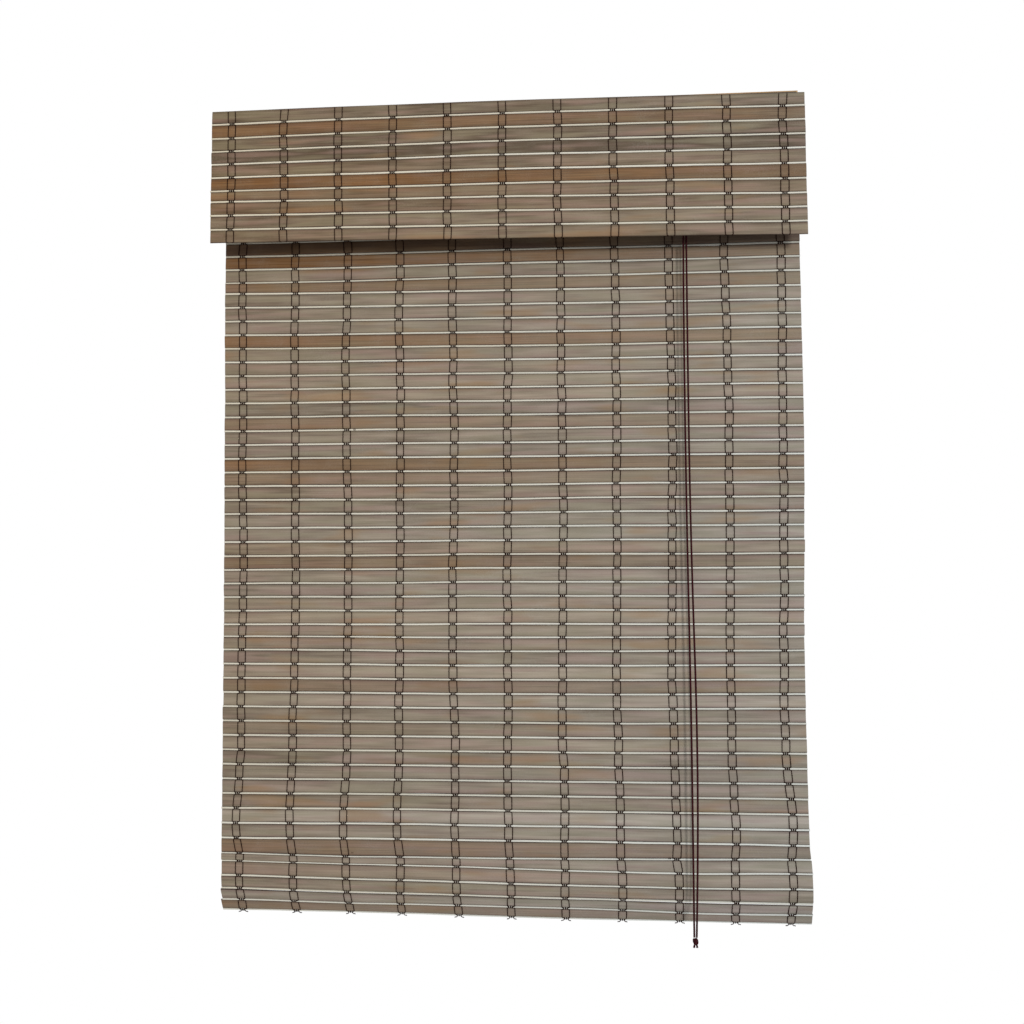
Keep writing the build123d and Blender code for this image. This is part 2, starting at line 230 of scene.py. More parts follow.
class Form:
    """Gathers the points and faces of one piece and makes its mesh."""

    def __init__(self) -> None:
        """Start with nothing."""
        self.points: list[np.ndarray] = []
        self.faces: list[np.ndarray] = []
        self.marks: dict[str, list[np.ndarray]] = {}
        self.count = 0

    def add(self, points: np.ndarray, faces: list[np.ndarray], marks: dict[str, np.ndarray] | None = None) -> None:
        """Add a part.

        Args:
            points: its points, in any shape that ends in 3.
            faces: arrays of polygons, each array with one number of corners.
            marks: values on the points that the finishes read.
        """
        flat = points.reshape(-1, 3)
        self.points.append(flat)
        self.faces += [polygons + self.count for polygons in faces if len(polygons)]
        for name, values in (marks or {}).items():
            self.marks.setdefault(name, []).append(np.broadcast_to(values, points.shape[:-1]).reshape(-1))
        self.count += len(flat)

    def add_tubes(self, rings: np.ndarray, closed: bool = False, marks: dict[str, np.ndarray] | None = None) -> None:
        """Add tubes whose points are laid out as (tube, station, around, 3), with flat ends."""
        marks = {name: np.broadcast_to(values, rings.shape[:-1]) for name, values in (marks or {}).items()}
        self.add(rings, [tube_faces(*rings.shape[:3], closed=closed)], marks)
        if not closed:
            ends = rings[:, [0, -1]]
            corners = np.arange(ends.size // 3).reshape(ends.shape[:-1])
            caps = np.concatenate([corners[:, 0, ::-1], corners[:, 1]])
            self.add(ends, [caps], {name: values[:, [0, -1]] for name, values in marks.items()})

    def build(self, name: str, finish: bpy.types.Material, smooth: bool = True) -> bpy.types.Object:
        """Make the piece's object.

        Args:
            name: what the piece is called.
            finish: its material.
            smooth: whether its faces are shaded smooth.

        Returns:
            The new object, linked to the scene.
        """
        points = np.concatenate(self.points).astype(np.float32)
        mesh = bpy.data.meshes.new(name)
        mesh.vertices.add(len(points))
        mesh.vertices.foreach_set("co", points.reshape(-1))
        corners = np.concatenate([polygons.reshape(-1) for polygons in self.faces]).astype(np.int32)
        sizes = np.concatenate([np.full(len(polygons), polygons.shape[1]) for polygons in self.faces])
        starts = np.concatenate([[0], np.cumsum(sizes)[:-1]]).astype(np.int32)
        mesh.loops.add(len(corners))
        mesh.loops.foreach_set("vertex_index", corners)
        mesh.polygons.add(len(sizes))
        mesh.polygons.foreach_set("loop_start", starts)
        mesh.polygons.foreach_set("use_smooth", np.full(len(sizes), smooth))
        mesh.update(calc_edges=True)
        for mark, parts in self.marks.items():
            values = np.concatenate(parts).astype(np.float32)
            mesh.attributes.new(mark, "FLOAT", "POINT").data.foreach_set("value", values)
        mesh.validate()
        mesh.materials.append(finish)
        made = bpy.data.objects.new(name, mesh)
        bpy.context.scene.collection.objects.link(made)
        return made


# ---- Shaders


class Sketch:
    """A node tree, with short ways to add nodes and join them."""

    def __init__(self, tree: bpy.types.NodeTree) -> None:
        """Work on that tree."""
        self.tree = tree

    def node(self, kind: str, inputs: dict[str | int, object] | None = None, **settings: object) -> bpy.types.Node:
        """Add a node.

        Args:
            kind: the node's type.
            inputs: for each socket, a value or another node's output.
            settings: the node's own options.

        Returns:
            The new node.
        """
        made = self.tree.nodes.new(kind)
        for option, value in settings.items():
            setattr(made, option, value)
        for socket, value in (inputs or {}).items():
            self.feed(made.inputs[socket], value)
        return made

    def feed(self, socket: bpy.types.NodeSocket, value: object) -> None:
        """Give a socket a value or another node's output."""
        if isinstance(value, bpy.types.NodeSocket):
            self.tree.links.new(value, socket)
        else:
            socket.default_value = value

    def give(self, node: bpy.types.Node, **values: object) -> None:
        """Feed a node's inputs by name."""
        for name, value in values.items():
            self.feed(node.inputs[name], value)

    def scaled(self, vector: object, factors: object) -> bpy.types.NodeSocket:
        """A vector multiplied part by part."""
        return self.node("ShaderNodeVectorMath", {0: vector, 1: factors}, operation="MULTIPLY").outputs[0]

    def math(self, operation: str, first: object, second: object = 0.0, clamp: bool = False) -> bpy.types.NodeSocket:
        """Result of a sum on one or two values."""
        made = self.node("ShaderNodeMath", {0: first, 1: second}, operation=operation, use_clamp=clamp)
        return made.outputs[0]

    def span(self, value: object, low: float, high: float, to_low: float = 0.0,
             to_high: float = 1.0) -> bpy.types.NodeSocket:
        """A value mapped from one range to another, and held inside it."""
        made = self.node("ShaderNodeMapRange", {"Value": value, "From Min": low, "From Max": high,
                                                "To Min": to_low, "To Max": to_high})
        return made.outputs["Result"]

    def mix(self, share: object, first: object, second: object, blend: str = "MIX") -> bpy.types.NodeSocket:
        """Two colours mixed."""
        made = self.node("ShaderNodeMix", data_type="RGBA", blend_type=blend)
        self.feed(made.inputs[0], share)
        self.feed(made.inputs[6], first)
        self.feed(made.inputs[7], second)
        return made.outputs[2]

    def noise(self, vector: object, scale: float, detail: float = 3.0, roughness: float = 0.5) -> bpy.types.NodeSocket:
        """Plain noise over a vector."""
        made = self.node("ShaderNodeTexNoise", {"Vector": vector, "Scale": scale, "Detail": detail,
                                                "Roughness": roughness})
        return made.outputs["Fac"]


class Effect(Enum):
    """Shared shader groups."""

    GRAIN = "wood_grain"
    TWIST = "twisted_strand"
    DUST = "soft_dust"
    MOULD = "moulded_skin"


class Effects:
    """Builds each shared group once and hands it out."""

    def __init__(self) -> None:
        """Build the groups."""
        self.groups = {Effect.GRAIN: self._grain(), Effect.TWIST: self._twist(), Effect.DUST: self._dust(),
                       Effect.MOULD: self._mould()}

    def _start(self, effect: Effect, inputs: dict[str, tuple[str, float | None]],
               outputs: dict[str, str]) -> tuple[Sketch, bpy.types.Node, bpy.types.Node]:
        """An empty group with named sockets.

        Args:
            effect: which group it is.
            inputs: each input's kind and default value.
            outputs: each output's kind.

        Returns:
            The sketch of the group and its two end nodes.
        """
        tree = bpy.data.node_groups.new(effect.value, "ShaderNodeTree")
        for name, (kind, value) in inputs.items():
            socket = tree.interface.new_socket(name, in_out="INPUT", socket_type=f"NodeSocket{kind}")
            if value is not None:
                socket.default_value = value
        for name, kind in outputs.items():
            tree.interface.new_socket(name, in_out="OUTPUT", socket_type=f"NodeSocket{kind}")
        sketch = Sketch(tree)
        return sketch, sketch.node("NodeGroupInput"), sketch.node("NodeGroupOutput")

    def _grain(self) -> bpy.types.NodeTree:
        """Fibres drawn out along X: fine streaks, broad patches and a height."""
        sketch, given, out = self._start(
            Effect.GRAIN,
            {"Vector": ("Vector", None), "Along": ("Float", 10.0), "Across": ("Float", 900.0)},
            {"Streaks": "Float", "Patches": "Float", "Blotches": "Float", "Height": "Float"})
        stretch = sketch.node("ShaderNodeCombineXYZ", {0: given.outputs["Along"], 1: given.outputs["Across"],
                                                       2: given.outputs["Across"]})
        drawn = sketch.scaled(given.outputs["Vector"], stretch.outputs[0])
        streaks = sketch.noise(drawn, 1.0, 4.0, 0.65)
        coarse = sketch.scaled(drawn, (1.7, 0.16, 0.16))
        patches = sketch.noise(coarse, 1.0, 2.0)
        shifted = sketch.node("ShaderNodeVectorMath", {0: coarse, 1: (41.0, 17.0, 29.0)}, operation="ADD").outputs[0]
        sketch.give(out, Streaks=streaks, Patches=patches, Blotches=sketch.noise(shifted, 0.8, 1.0),
                    Height=sketch.math("ADD", streaks, sketch.math("MULTIPLY", patches, 0.4)))
        return sketch.tree

    def _twist(self) -> bpy.types.NodeTree:
        """Slanting strands, as on thread or cord."""
        sketch, given, out = self._start(
            Effect.TWIST,
            {"Vector": ("Vector", None), "Pitch": ("Float", 0.001)},
            {"Shade": "Float", "Height": "Float", "Fuzz": "Float"})
        slant = sketch.node("ShaderNodeVectorMath", {0: given.outputs["Vector"], 1: (1.0, 0.6, 0.9)},
                            operation="DOT_PRODUCT").outputs["Value"]
        turns = sketch.math("DIVIDE", slant, given.outputs["Pitch"])
        wave = sketch.math("SINE", sketch.math("MULTIPLY", turns, TAU))
        fuzz = sketch.noise(given.outputs["Vector"], 2600.0, 2.0)
        sketch.give(out, Shade=sketch.span(wave, -1.0, 1.0), Height=sketch.math("ADD", wave, fuzz), Fuzz=fuzz)
        return sketch.tree

    def _dust(self) -> bpy.types.NodeTree:
        """Where pale dust and rubbed spots lie."""
        sketch, given, out = self._start(
            Effect.DUST, {"Vector": ("Vector", None), "Amount": ("Float", 0.3)}, {"Mask": "Float"})
        broad = sketch.noise(given.outputs["Vector"], 45.0, 3.0)
        fine = sketch.noise(given.outputs["Vector"], 900.0, 2.0)
        cover = sketch.math("MULTIPLY", sketch.span(broad, 0.4, 0.75), sketch.span(fine, 0.35, 0.7))
        sketch.give(out, Mask=sketch.math("MULTIPLY", cover, given.outputs["Amount"], clamp=True))
        return sketch.tree

    def _mould(self) -> bpy.types.NodeTree:
        """The faint uneven skin of moulded plastic or plated wire."""
        sketch, given, out = self._start(
            Effect.MOULD, {"Vector": ("Vector", None), "Scale": ("Float", 400.0)},
            {"Shade": "Float", "Height": "Float"})
        sized = sketch.node("ShaderNodeVectorMath", {0: given.outputs["Vector"], "Scale": given.outputs["Scale"]},
                            operation="SCALE").outputs[0]
        skin = sketch.noise(sized, 1.0, 3.0)
        sketch.give(out, Shade=sketch.noise(sized, 0.18, 2.0), Height=skin)
        return sketch.tree


class Surface(Sketch):
    """A material, its Principled shader, and the shared groups that it can place."""

    def __init__(self, name: str, effects: Effects, roughness: float = 0.6, metallic: float = 0.0,
                 specular: float = 0.3) -> None:
        """Make an empty material.

        Args:
            name: the material's name.
            effects: the shared groups.
            roughness: roughness where nothing changes it.
            metallic: 1 for bare metal.
            specular: the level of the shader's plain reflection.
        """
        self.material = bpy.data.materials.new(name)
        self.material.use_nodes = True
        super().__init__(self.material.node_tree)
        self.effects = effects
        self.shader = self.tree.nodes["Principled BSDF"]
        self.shader.inputs["Roughness"].default_value = roughness
        self.shader.inputs["Metallic"].default_value = metallic
        self.shader.inputs["Specular IOR Level"].default_value = specular
        self.place = self.node("ShaderNodeTexCoord").outputs["Object"]

    def effect(self, effect: Effect, **values: object) -> bpy.types.Node:
        """Place a shared group over the object's own coordinates."""
        made = self.node("ShaderNodeGroup")
        made.node_tree = self.effects.groups[effect]
        self.give(made, Vector=self.place, **values)
        return made

    def dusted(self, colour: object, amount: float, tint: Colour) -> bpy.types.NodeSocket:
        """A colour under a film of dust."""
        dust = self.effect(Effect.DUST, Amount=amount)
        return self.mix(dust.outputs["Mask"], colour, tint)

    def mark(self, name: str) -> bpy.types.NodeSocket:
        """A value that the mesh carries on its points."""
        return self.node("ShaderNodeAttribute", attribute_name=name).outputs["Fac"]

    def cast(self) -> bpy.types.NodeSocket:
        """The cool cast that the points carry, as a colour to multiply by; its rise towards the right is painted cool
        light.
        """
        cool = self.mark("cool")
        red = self.math("SUBTRACT", 1.0, self.math("MULTIPLY", cool, 0.4))
        blue = self.math("ADD", 1.0, self.math("MULTIPLY", cool, 0.6))
        return self.node("ShaderNodeCombineColor", {0: red, 1: 1.0, 2: blue}).outputs[0]

    def dress(self, colour: object, roughness: object = None, height: object = None, strength: float = 0.3,
              distance: float = 0.0002) -> bpy.types.Material:
        """Join the colour, roughness and relief to the shader.

        Args:
            colour: the base colour.
            roughness: roughness, where it changes over the surface.
            height: the relief, where there is one.
            strength: how strong the relief is.
            distance: how deep the relief is.

        Returns:
            The finished material.
        """
        self.feed(self.shader.inputs["Base Color"], colour)
        if roughness is not None:
            self.feed(self.shader.inputs["Roughness"], roughness)
        if height is not None:
            bump = self.node("ShaderNodeBump", {"Height": height, "Strength": strength, "Distance": distance})
            self.feed(self.shader.inputs["Normal"], bump.outputs["Normal"])
        return self.material


@dataclass(frozen=True)
class BambooFinish:
    """Stained split bamboo: taupe, with browner slats and fine fibres, and painted shade along its edges."""

    light: Colour = srgb(180, 162, 140)
    dark: Colour = srgb(92, 77, 60)
    warm: Colour = srgb(102, 70, 40)
    warm_light: Colour = srgb(136, 98, 60)
    rosy: Colour = srgb(160, 130, 118)
    mossy: Colour = srgb(146, 136, 110)
    tan: Colour = srgb(150, 116, 80)
    crevice_shade: Colour = srgb(40, 26, 18)
    along: float = 9.0
    across: float = 1250.0

    def make(self, effects: Effects) -> bpy.types.Material:
        """Build the material from the shared groups."""
        cover = Surface("split_bamboo", effects, specular=0.22)
        grain = cover.effect(Effect.GRAIN, Along=self.along, Across=self.across)
        streaks, patches, blotches = (grain.outputs[name] for name in ("Streaks", "Patches", "Blotches"))
        tone = cover.math("ADD", cover.span(streaks, 0.3, 0.7, -0.4, 0.4), cover.mark("tone"))
        tone = cover.math("ADD", tone, cover.span(patches, 0.32, 0.68, -0.5, 0.5))
        colour = cover.mix(cover.span(tone, -1.8, 1.0), self.dark, self.light)
        colour = cover.mix(cover.span(blotches, 0.52, 0.68, 0.0, 0.42), colour, self.rosy)
        colour = cover.mix(cover.span(blotches, 0.48, 0.34, 0.0, 0.42), colour, self.mossy)
        spots = cover.noise(cover.scaled(cover.place, (11.0, 60.0, 60.0)), 1.0, 2.0)
        colour = cover.mix(cover.span(spots, 0.56, 0.7, 0.0, 0.55), colour, self.tan)
        stain = cover.mix(cover.span(streaks, 0.35, 0.65), self.warm, self.warm_light)
        soaked = cover.math("MULTIPLY", cover.mark("warm"), cover.span(patches, 0.25, 0.55, 0.55, 1.0), clamp=True)
        colour = cover.mix(soaked, colour, stain)
        colour = cover.dusted(colour, 0.16, srgb(190, 182, 170))
        # Multiplied by the cast, whose rise towards the right is painted cool light.
        colour = cover.mix(1.0, colour, cover.cast(), "MULTIPLY")
        fleck = cover.span(cover.noise(cover.scaled(cover.place, (90.0, 90.0, 420.0)), 1.0, 5.0, 0.7), 0.72, 0.78)
        colour = cover.mix(cover.math("MULTIPLY", fleck, 0.5), colour, self.warm)
        # Painted shade in the crevices and the valance's painted shadow, broken up by blotches.
        depth = cover.math("MULTIPLY", cover.mark("edge"), cover.span(blotches, 0.35, 0.65, 0.6, 1.0))
        colour = cover.mix(depth, colour, self.crevice_shade)
        rough = cover.span(streaks, 0.2, 0.8, 0.5, 0.72)
        return cover.dress(colour, rough, grain.outputs["Height"], 0.35, 0.00018)


@dataclass(frozen=True)
class ReedFinish:
    """Bleached round reed between the slats."""

    light: Colour = srgb(240, 234, 219)
    dark: Colour = srgb(206, 198, 178)
    crevice_shade: Colour = srgb(40, 32, 26)

    def make(self, effects: Effects) -> bpy.types.Material:
        """Build the material from the shared groups."""
        cover = Surface("pale_reed", effects, specular=0.1)
        grain = cover.effect(Effect.GRAIN, Along=14.0, Across=1500.0)
        tone = cover.math("ADD", cover.span(grain.outputs["Streaks"], 0.3, 0.7, -0.3, 0.3), cover.mark("tone"))
        colour = cover.mix(cover.span(tone, -0.9, 0.7), self.dark, self.light)
        colour = cover.dusted(colour, 0.25, srgb(180, 166, 142))
        # Multiplied by the cast, whose rise towards the right is painted cool light.
        colour = cover.mix(1.0, colour, cover.cast(), "MULTIPLY")
        # Painted shade on the sticks' top and bottom, and the valance's painted shadow.
        colour = cover.mix(cover.math("MULTIPLY", cover.mark("edge"), 0.92), colour, self.crevice_shade)
        rough = cover.span(grain.outputs["Streaks"], 0.2, 0.8, 0.62, 0.8)
        return cover.dress(colour, rough, grain.outputs["Height"], 0.25, 0.00012)


@dataclass(frozen=True)
class ThreadFinish:
    """Twisted thread or braided cord."""

    name: str
    dark: Colour
    light: Colour
    pitch: float
    fuzz: Colour

    def make(self, effects: Effects) -> bpy.types.Material:
        """Build the material from the shared groups."""
        cover = Surface(self.name, effects, roughness=0.85, specular=0.05)
        twist = cover.effect(Effect.TWIST, Pitch=self.pitch)
        colour = cover.mix(twist.outputs["Shade"], self.dark, self.light)
        colour = cover.mix(cover.span(twist.outputs["Fuzz"], 0.55, 0.75, 0.0, 0.4), colour, self.fuzz)
        rough = cover.span(twist.outputs["Fuzz"], 0.3, 0.7, 0.75, 0.95)
        return cover.dress(colour, rough, twist.outputs["Height"], 0.5, 0.00012)


@dataclass(frozen=True)
class SoftwoodFinish:
    """Planed softwood with long grain."""

    early: Colour = srgb(206, 172, 124)
    late: Colour = srgb(168, 124, 76)

    def make(self, effects: Effects) -> bpy.types.Material:
        """Build the material from the shared groups."""
        cover = Surface("planed_softwood", effects, specular=0.3)
        grain = cover.effect(Effect.GRAIN, Along=4.0, Across=420.0)
        colour = cover.mix(cover.span(grain.outputs["Streaks"], 0.35, 0.68), self.early, self.late)
        colour = cover.mix(cover.span(grain.outputs["Blotches"], 0.5, 0.75, 0.0, 0.4), colour, self.late)
        colour = cover.dusted(colour, 0.35, srgb(196, 186, 170))
        rough = cover.span(grain.outputs["Patches"], 0.3, 0.7, 0.5, 0.7)
        return cover.dress(colour, rough, grain.outputs["Height"], 0.3, 0.0002)


@dataclass(frozen=True)
class TapeFinish:
    """Hook-and-loop tape: a dense dark nap."""

    nap: Colour = srgb(66, 56, 48)
    loops: Colour = srgb(112, 100, 88)

    def make(self, effects: Effects) -> bpy.types.Material:
        """Build the material from the shared groups."""
        cover = Surface("napped_tape", effects, roughness=0.95, specular=0.1)
        cells = cover.node("ShaderNodeTexVoronoi", {"Vector": cover.place, "Scale": 1400.0})
        nap = cells.outputs["Distance"]
        colour = cover.mix(cover.span(nap, 0.1, 0.7), self.nap, self.loops)
        colour = cover.dusted(colour, 0.3, srgb(150, 142, 130))
        return cover.dress(colour, cover.span(nap, 0.0, 1.0, 0.85, 1.0), nap, 0.8, 0.0004)


@dataclass(frozen=True)
class HardFinish:
    """Moulded plastic, plated steel or brass."""

    name: str
    base: Colour
    worn: Colour
    roughness: tuple[float, float]
    metallic: float = 0.0
    specular: float = 0.5
    grain: float = 700.0

    def make(self, effects: Effects) -> bpy.types.Material:
        """Build the material from the shared groups."""
        cover = Surface(self.name, effects, metallic=self.metallic, specular=self.specular)
        skin = cover.effect(Effect.MOULD, Scale=self.grain)
        colour = cover.mix(cover.span(skin.outputs["Shade"], 0.3, 0.7), self.base, self.worn)
        colour = cover.dusted(colour, 0.4, srgb(176, 168, 156))
        rough = cover.span(skin.outputs["Shade"], 0.25, 0.75, *self.roughness)
        return cover.dress(colour, rough, skin.outputs["Height"], 0.15, 0.0001)


@dataclass
class Finishes:
    """Every finish on the blind, built once."""

    effects: Effects
    bamboo: bpy.types.Material = field(init=False)
    reed: bpy.types.Material = field(init=False)
    thread: bpy.types.Material = field(init=False)
    cord: bpy.types.Material = field(init=False)
    softwood: bpy.types.Material = field(init=False)
    tape: bpy.types.Material = field(init=False)
    steel: bpy.types.Material = field(init=False)
    brass: bpy.types.Material = field(init=False)
    housing: bpy.types.Material = field(init=False)
    nylon: bpy.types.Material = field(init=False)
    ring: bpy.types.Material = field(init=False)

    def __post_init__(self) -> None:
        """Build the materials."""
        kinds = {"bamboo": BambooFinish(), "reed": ReedFinish(),
                 "thread": ThreadFinish("brown_thread", srgb(20, 8, 5), srgb(49, 23, 16), 1.1 * MM, srgb(68, 37, 27)),
                 "cord": ThreadFinish("maroon_cord", srgb(38, 14, 17), srgb(68, 28, 32), 1.7 * MM, srgb(84, 46, 46)),
                 "softwood": SoftwoodFinish(), "tape": TapeFinish(),
                 "steel": HardFinish("zinc_steel", srgb(186, 188, 190), srgb(150, 152, 152), (0.28, 0.45), 1.0),
                 "brass": HardFinish("turned_brass", srgb(196, 160, 92), srgb(156, 120, 64), (0.25, 0.42), 1.0),
                 "housing": HardFinish("brown_moulding", srgb(78, 58, 44), srgb(98, 76, 60), (0.38, 0.55)),
                 "nylon": HardFinish("ivory_nylon", srgb(226, 220, 204), srgb(206, 198, 178), (0.35, 0.5)),
                 "ring": HardFinish("cream_moulding", srgb(216, 206, 184), srgb(194, 182, 156), (0.35, 0.5))}
        for name, finish in kinds.items():
            setattr(self, name, finish.make(self.effects))


# ---- The woven mat


@dataclass(frozen=True)
class Wear:
    """How far the rows and threads of a mat stray: spreads of its random draws, then the heights of its waves."""

    tone: float = 0.24
    cool: float = 0.03
    warm: float = 0.05
    stick_tone: float = 0.18
    slat_end: float = 0.15 * MM
    stick_end: float = 0.22 * MM
    twist: float = math.radians(1.3)
    column_memory: float = 0.86
    column_step: float = 0.42 * MM
    tick: float = 0.3 * MM
    barrel: float = 0.16 * MM
    usual_stain: float = 0.02
    most_stain: float = 0.2
    sag: float = 0.45 * MM
    billow: float = 0.22 * MM
    slat_bow: float = 0.12 * MM
    stick_sway: float = 0.08 * MM
    stick_push: float = 0.12 * MM
    held: float = 9 * MM


@dataclass(frozen=True)
class Shading:
    """How the colour of slats and sticks changes across the mat, with painted shade towards the left and painted cool
    light towards the right, and with the valance's painted shadow where it hides them.
    """

    slat_tone: float = 0.12
    left_painted_shade: float = 0.5
    slat_right_cool_light: float = 0.11
    slat_stain: tuple[float, float] = (0.85, 0.3)
    stick_right_cool_light: float = 0.1
    stick_cool: float = 0.6
    stick_valance_shadow: float = 0.55


@dataclass(frozen=True)
class Tint:
    """How a mat's colour runs down its rows: a painted light ramp, stain, cast, single rows that differ, and the
    valance's painted shadow, by row.
    """

    painted_light_ramp: tuple[float, float]
    coolness: tuple[float, float]
    warm: dict[int, float]
    tones: dict[int, float] = field(default_factory=dict)
    valance_shadow: dict[int, float] = field(default_factory=dict)


# Rows count from 0 at the headrail. The valance hides the shade's rows 0 to 8; its shadow is painted on them and on the
# two rows below it.
# The first pair in each tint is painted light and shade: the valance is painted darker than the shade, and the shade
# lighter towards its hem.
VALANCE_TINT = Tint((-1.05, -0.9), (-0.04, -0.04), {1: 0.7, 4: 0.12, 5: 0.95, 6: 0.3, 7: 0.25})
SHADE_TINT = Tint(
    (0.0, 0.12), (0.03, 0.2),
    warm={9: 0.7, 10: 0.95, 12: 0.5, 16: 0.7, 22: 0.35, 25: 0.62, 26: 0.35, 32: 0.42, 41: 0.4, 44: 0.22, 47: 0.15,
          52: 0.6, 54: 0.25, 57: 0.5},
    tones={9: -0.3, 12: -0.3, 16: -0.2, 20: 0.25, 22: -0.15, 24: 0.3, 25: -0.3, 32: -0.25, 35: 0.2, 36: 0.2,
           40: 0.35, 41: -0.25, 42: 0.2, 45: 0.35, 47: -0.1, 48: -0.25, 49: -0.2, 50: 0.5, 51: -0.2, 52: -0.15},
    valance_shadow={**{row: 0.85 for row in range(9)}, 9: 0.7, 10: 0.12})
VALANCE_HANG = Hang(
    (-280, -160, -40, 80, 190, 280), (0, 27, 56, 85, 93, 112, 140),
    ((-0.4, -0.2, -0.5, -1.9, -2.2, -3.8), (-2.2, -0.8, -0.5, -2, -2.3, -3.7), (-0.7, -0.2, -0.3, -2.1, -2.9, -3.8),
     (-0.3, -0.4, -1.5, -3, -4.1, -6.2), (2.7, 1.3, -0.4, -2.8, -4.2, -6.5), (2.5, 1.8, -0.3, -2.7, -3.8, -6.3),
     (1.6, 1.5, -1.5, -2.9, -4.4, -6.2)),
    ((1.1, 1.1, 1.1, 1.1, 1.1, 1.1, 1.1), (0, 0, 0, 0, 0, 0, 0)))
SHADING = Shading()
SHADE_HANG = Hang(
    (-280, -160, -40, 80, 190, 280), (130, 170, 184, 230, 300, 330, 400, 460, 530, 545, 620, 700, 742,
                                          753, 768, 782, 796, 810, 822),
    ((0, 0.5, -0.5, -0.5, -1, -1), (0, 0, 0, -0.8, -1, -1), (3, 2, 0, -0.5, -1.8, -2.2), (1.8, 0.8, -0.4, -1.5, -2, -2),
     (1, 0.6, -0.2, -1, -2, -2), (0, 0, 0, -1, -1.8, -1.8), (-0.5, -1.2, -1, -1, -1.6, -1.5),
     (-2, -1.5, 0.4, -0.8, -1.2, -1), (-0.8, 0, 1, 0.6, 0.6, 0.4), (2, 2.6, 1.6, 1.8, 2.9, 2.6),
     (1.2, 2.2, 2, 2.3, 3, 3), (-0.3, 1.1, 1.2, 2.2, 1.6, 1.4), (-1.9, -0.5, 0, 1.2, 0.3, 0),
     (-2.9, -4.6, -3.2, -1.3, -0.5, 1), (4.3, 2.9, 2.8, 1.2, 0, 1.9), (4, 2.3, 1.9, 1.4, 0.2, 1.6),
     (5.4, 3.4, 3.2, 2.6, 1.6, 1.6), (5.4, 3.5, 4.4, 4.4, 1.2, 2.2), (5.4, 5.2, 4.9, 4.5, 4.1, 4.2)),
    ((-2, -2, -2, -1.6, -0.5, -0.5, 0.5, 1, 1.5, 1.5, 1.8, 2, 2, 2.2, 2.4, 2.4, 2.4, 2.4, 2.4),
     (3, 3, 3, 3, 3, 2.8, 1.5, 0, -2, -2, -2.5, -2.2, -1.6, -0.6, 0.4, 0.6, 0.6, 0.6, 0.6)))
# Rows of the shade near its hem, and how far the outer thread columns stray outwards there, in millimetres.
COLUMN_SPREAD = ((46, 50, 51, 52, 53), (0, 4, 4.5, 3.5, 0.5))
# The curled rows, and how far their left ends reach past the others, in millimetres.
CURLED_ROWS, CURLED_REACH = slice(55, 58), (0.5, 1.6, 3.3)

# Points along a slat, along a stick, round a stick and round a thread.
SLAT_STEPS, STICK_STEPS, STICK_SIDES, THREAD_SIDES = 33, 121, 8, 5

# A slat seen from its end, as shares of its thickness and width, and how much painted shade each place gets, darkest at
# its edges beside the sticks.
SLAT_OUTLINE = np.array([(-0.5, -0.25), (-0.5, 0.25), (-0.45, 0.42), (-0.3, 0.48), (-0.06, 0.5), (0.28, 0.5),
                         (0.45, 0.475), (0.5, 0.4), (0.5, -0.4), (0.45, -0.475), (0.28, -0.5), (-0.06, -0.5),
                         (-0.3, -0.48), (-0.45, -0.42)])[::-1]
SLAT_SHADE = np.array([0, 0, 0.2, 0.85, 1, 1, 0.7, 0.1, 0.1, 0.7, 1, 1, 0.9, 0.34])[::-1]

# One row of a thread column in millimetres: across from its middle, towards the back, and down.
FRONT_STRAND = np.array([(1.85, -0.55, -0.12), (2.6, -0.66, 0.0), (3.5, -0.8, 0.15), (3.8, -1.02, 0.75),
                         (3.85, -1.13, 2.2), (3.85, -1.15, 6.0), (3.85, -1.13, 9.8), (3.8, -1.02, 11.3),
                         (3.5, -0.8, 11.95), (2.6, -0.7, 12.1), (1.95, -0.8, 12.2), (1.85, -1.2, 12.5),
                         (1.85, -1.42, 13.05), (1.85, -1.2, 13.6)]) * MM
MIDDLE_STRAND = np.array([(0, 0.55, -0.12), (0, 1.0, 0.6), (0, 1.17, 2.5), (0, 1.17, 9.6), (0, 1.0, 11.6),
                          (0, 0.35, 12.15), (0, -0.5, 12.25), (0, -1.2, 12.5), (0, -1.42, 13.05), (0, -1.2, 13.6),
                          (0, -0.5, 14.0)]) * MM
THREAD_TAIL = np.array([(0.4, 0.3, -0.9), (1.2, 0.1, -1.4), (2.2, 0.2, -1.4), (2.9, 0.4, -1.9)]) * MM
# The part of a strand that bulges over the slat, where a bare row's thread stops, and where a tie starts and ends.
SLAT_BULGE, BARE_END, TIE_START, TIE_END = 3 * MM, 12.12 * MM, 12.15 * MM, 13.9 * MM
# Points above the slat, which the first row of a mat has no stick for.
FIRST_POINTS = 3


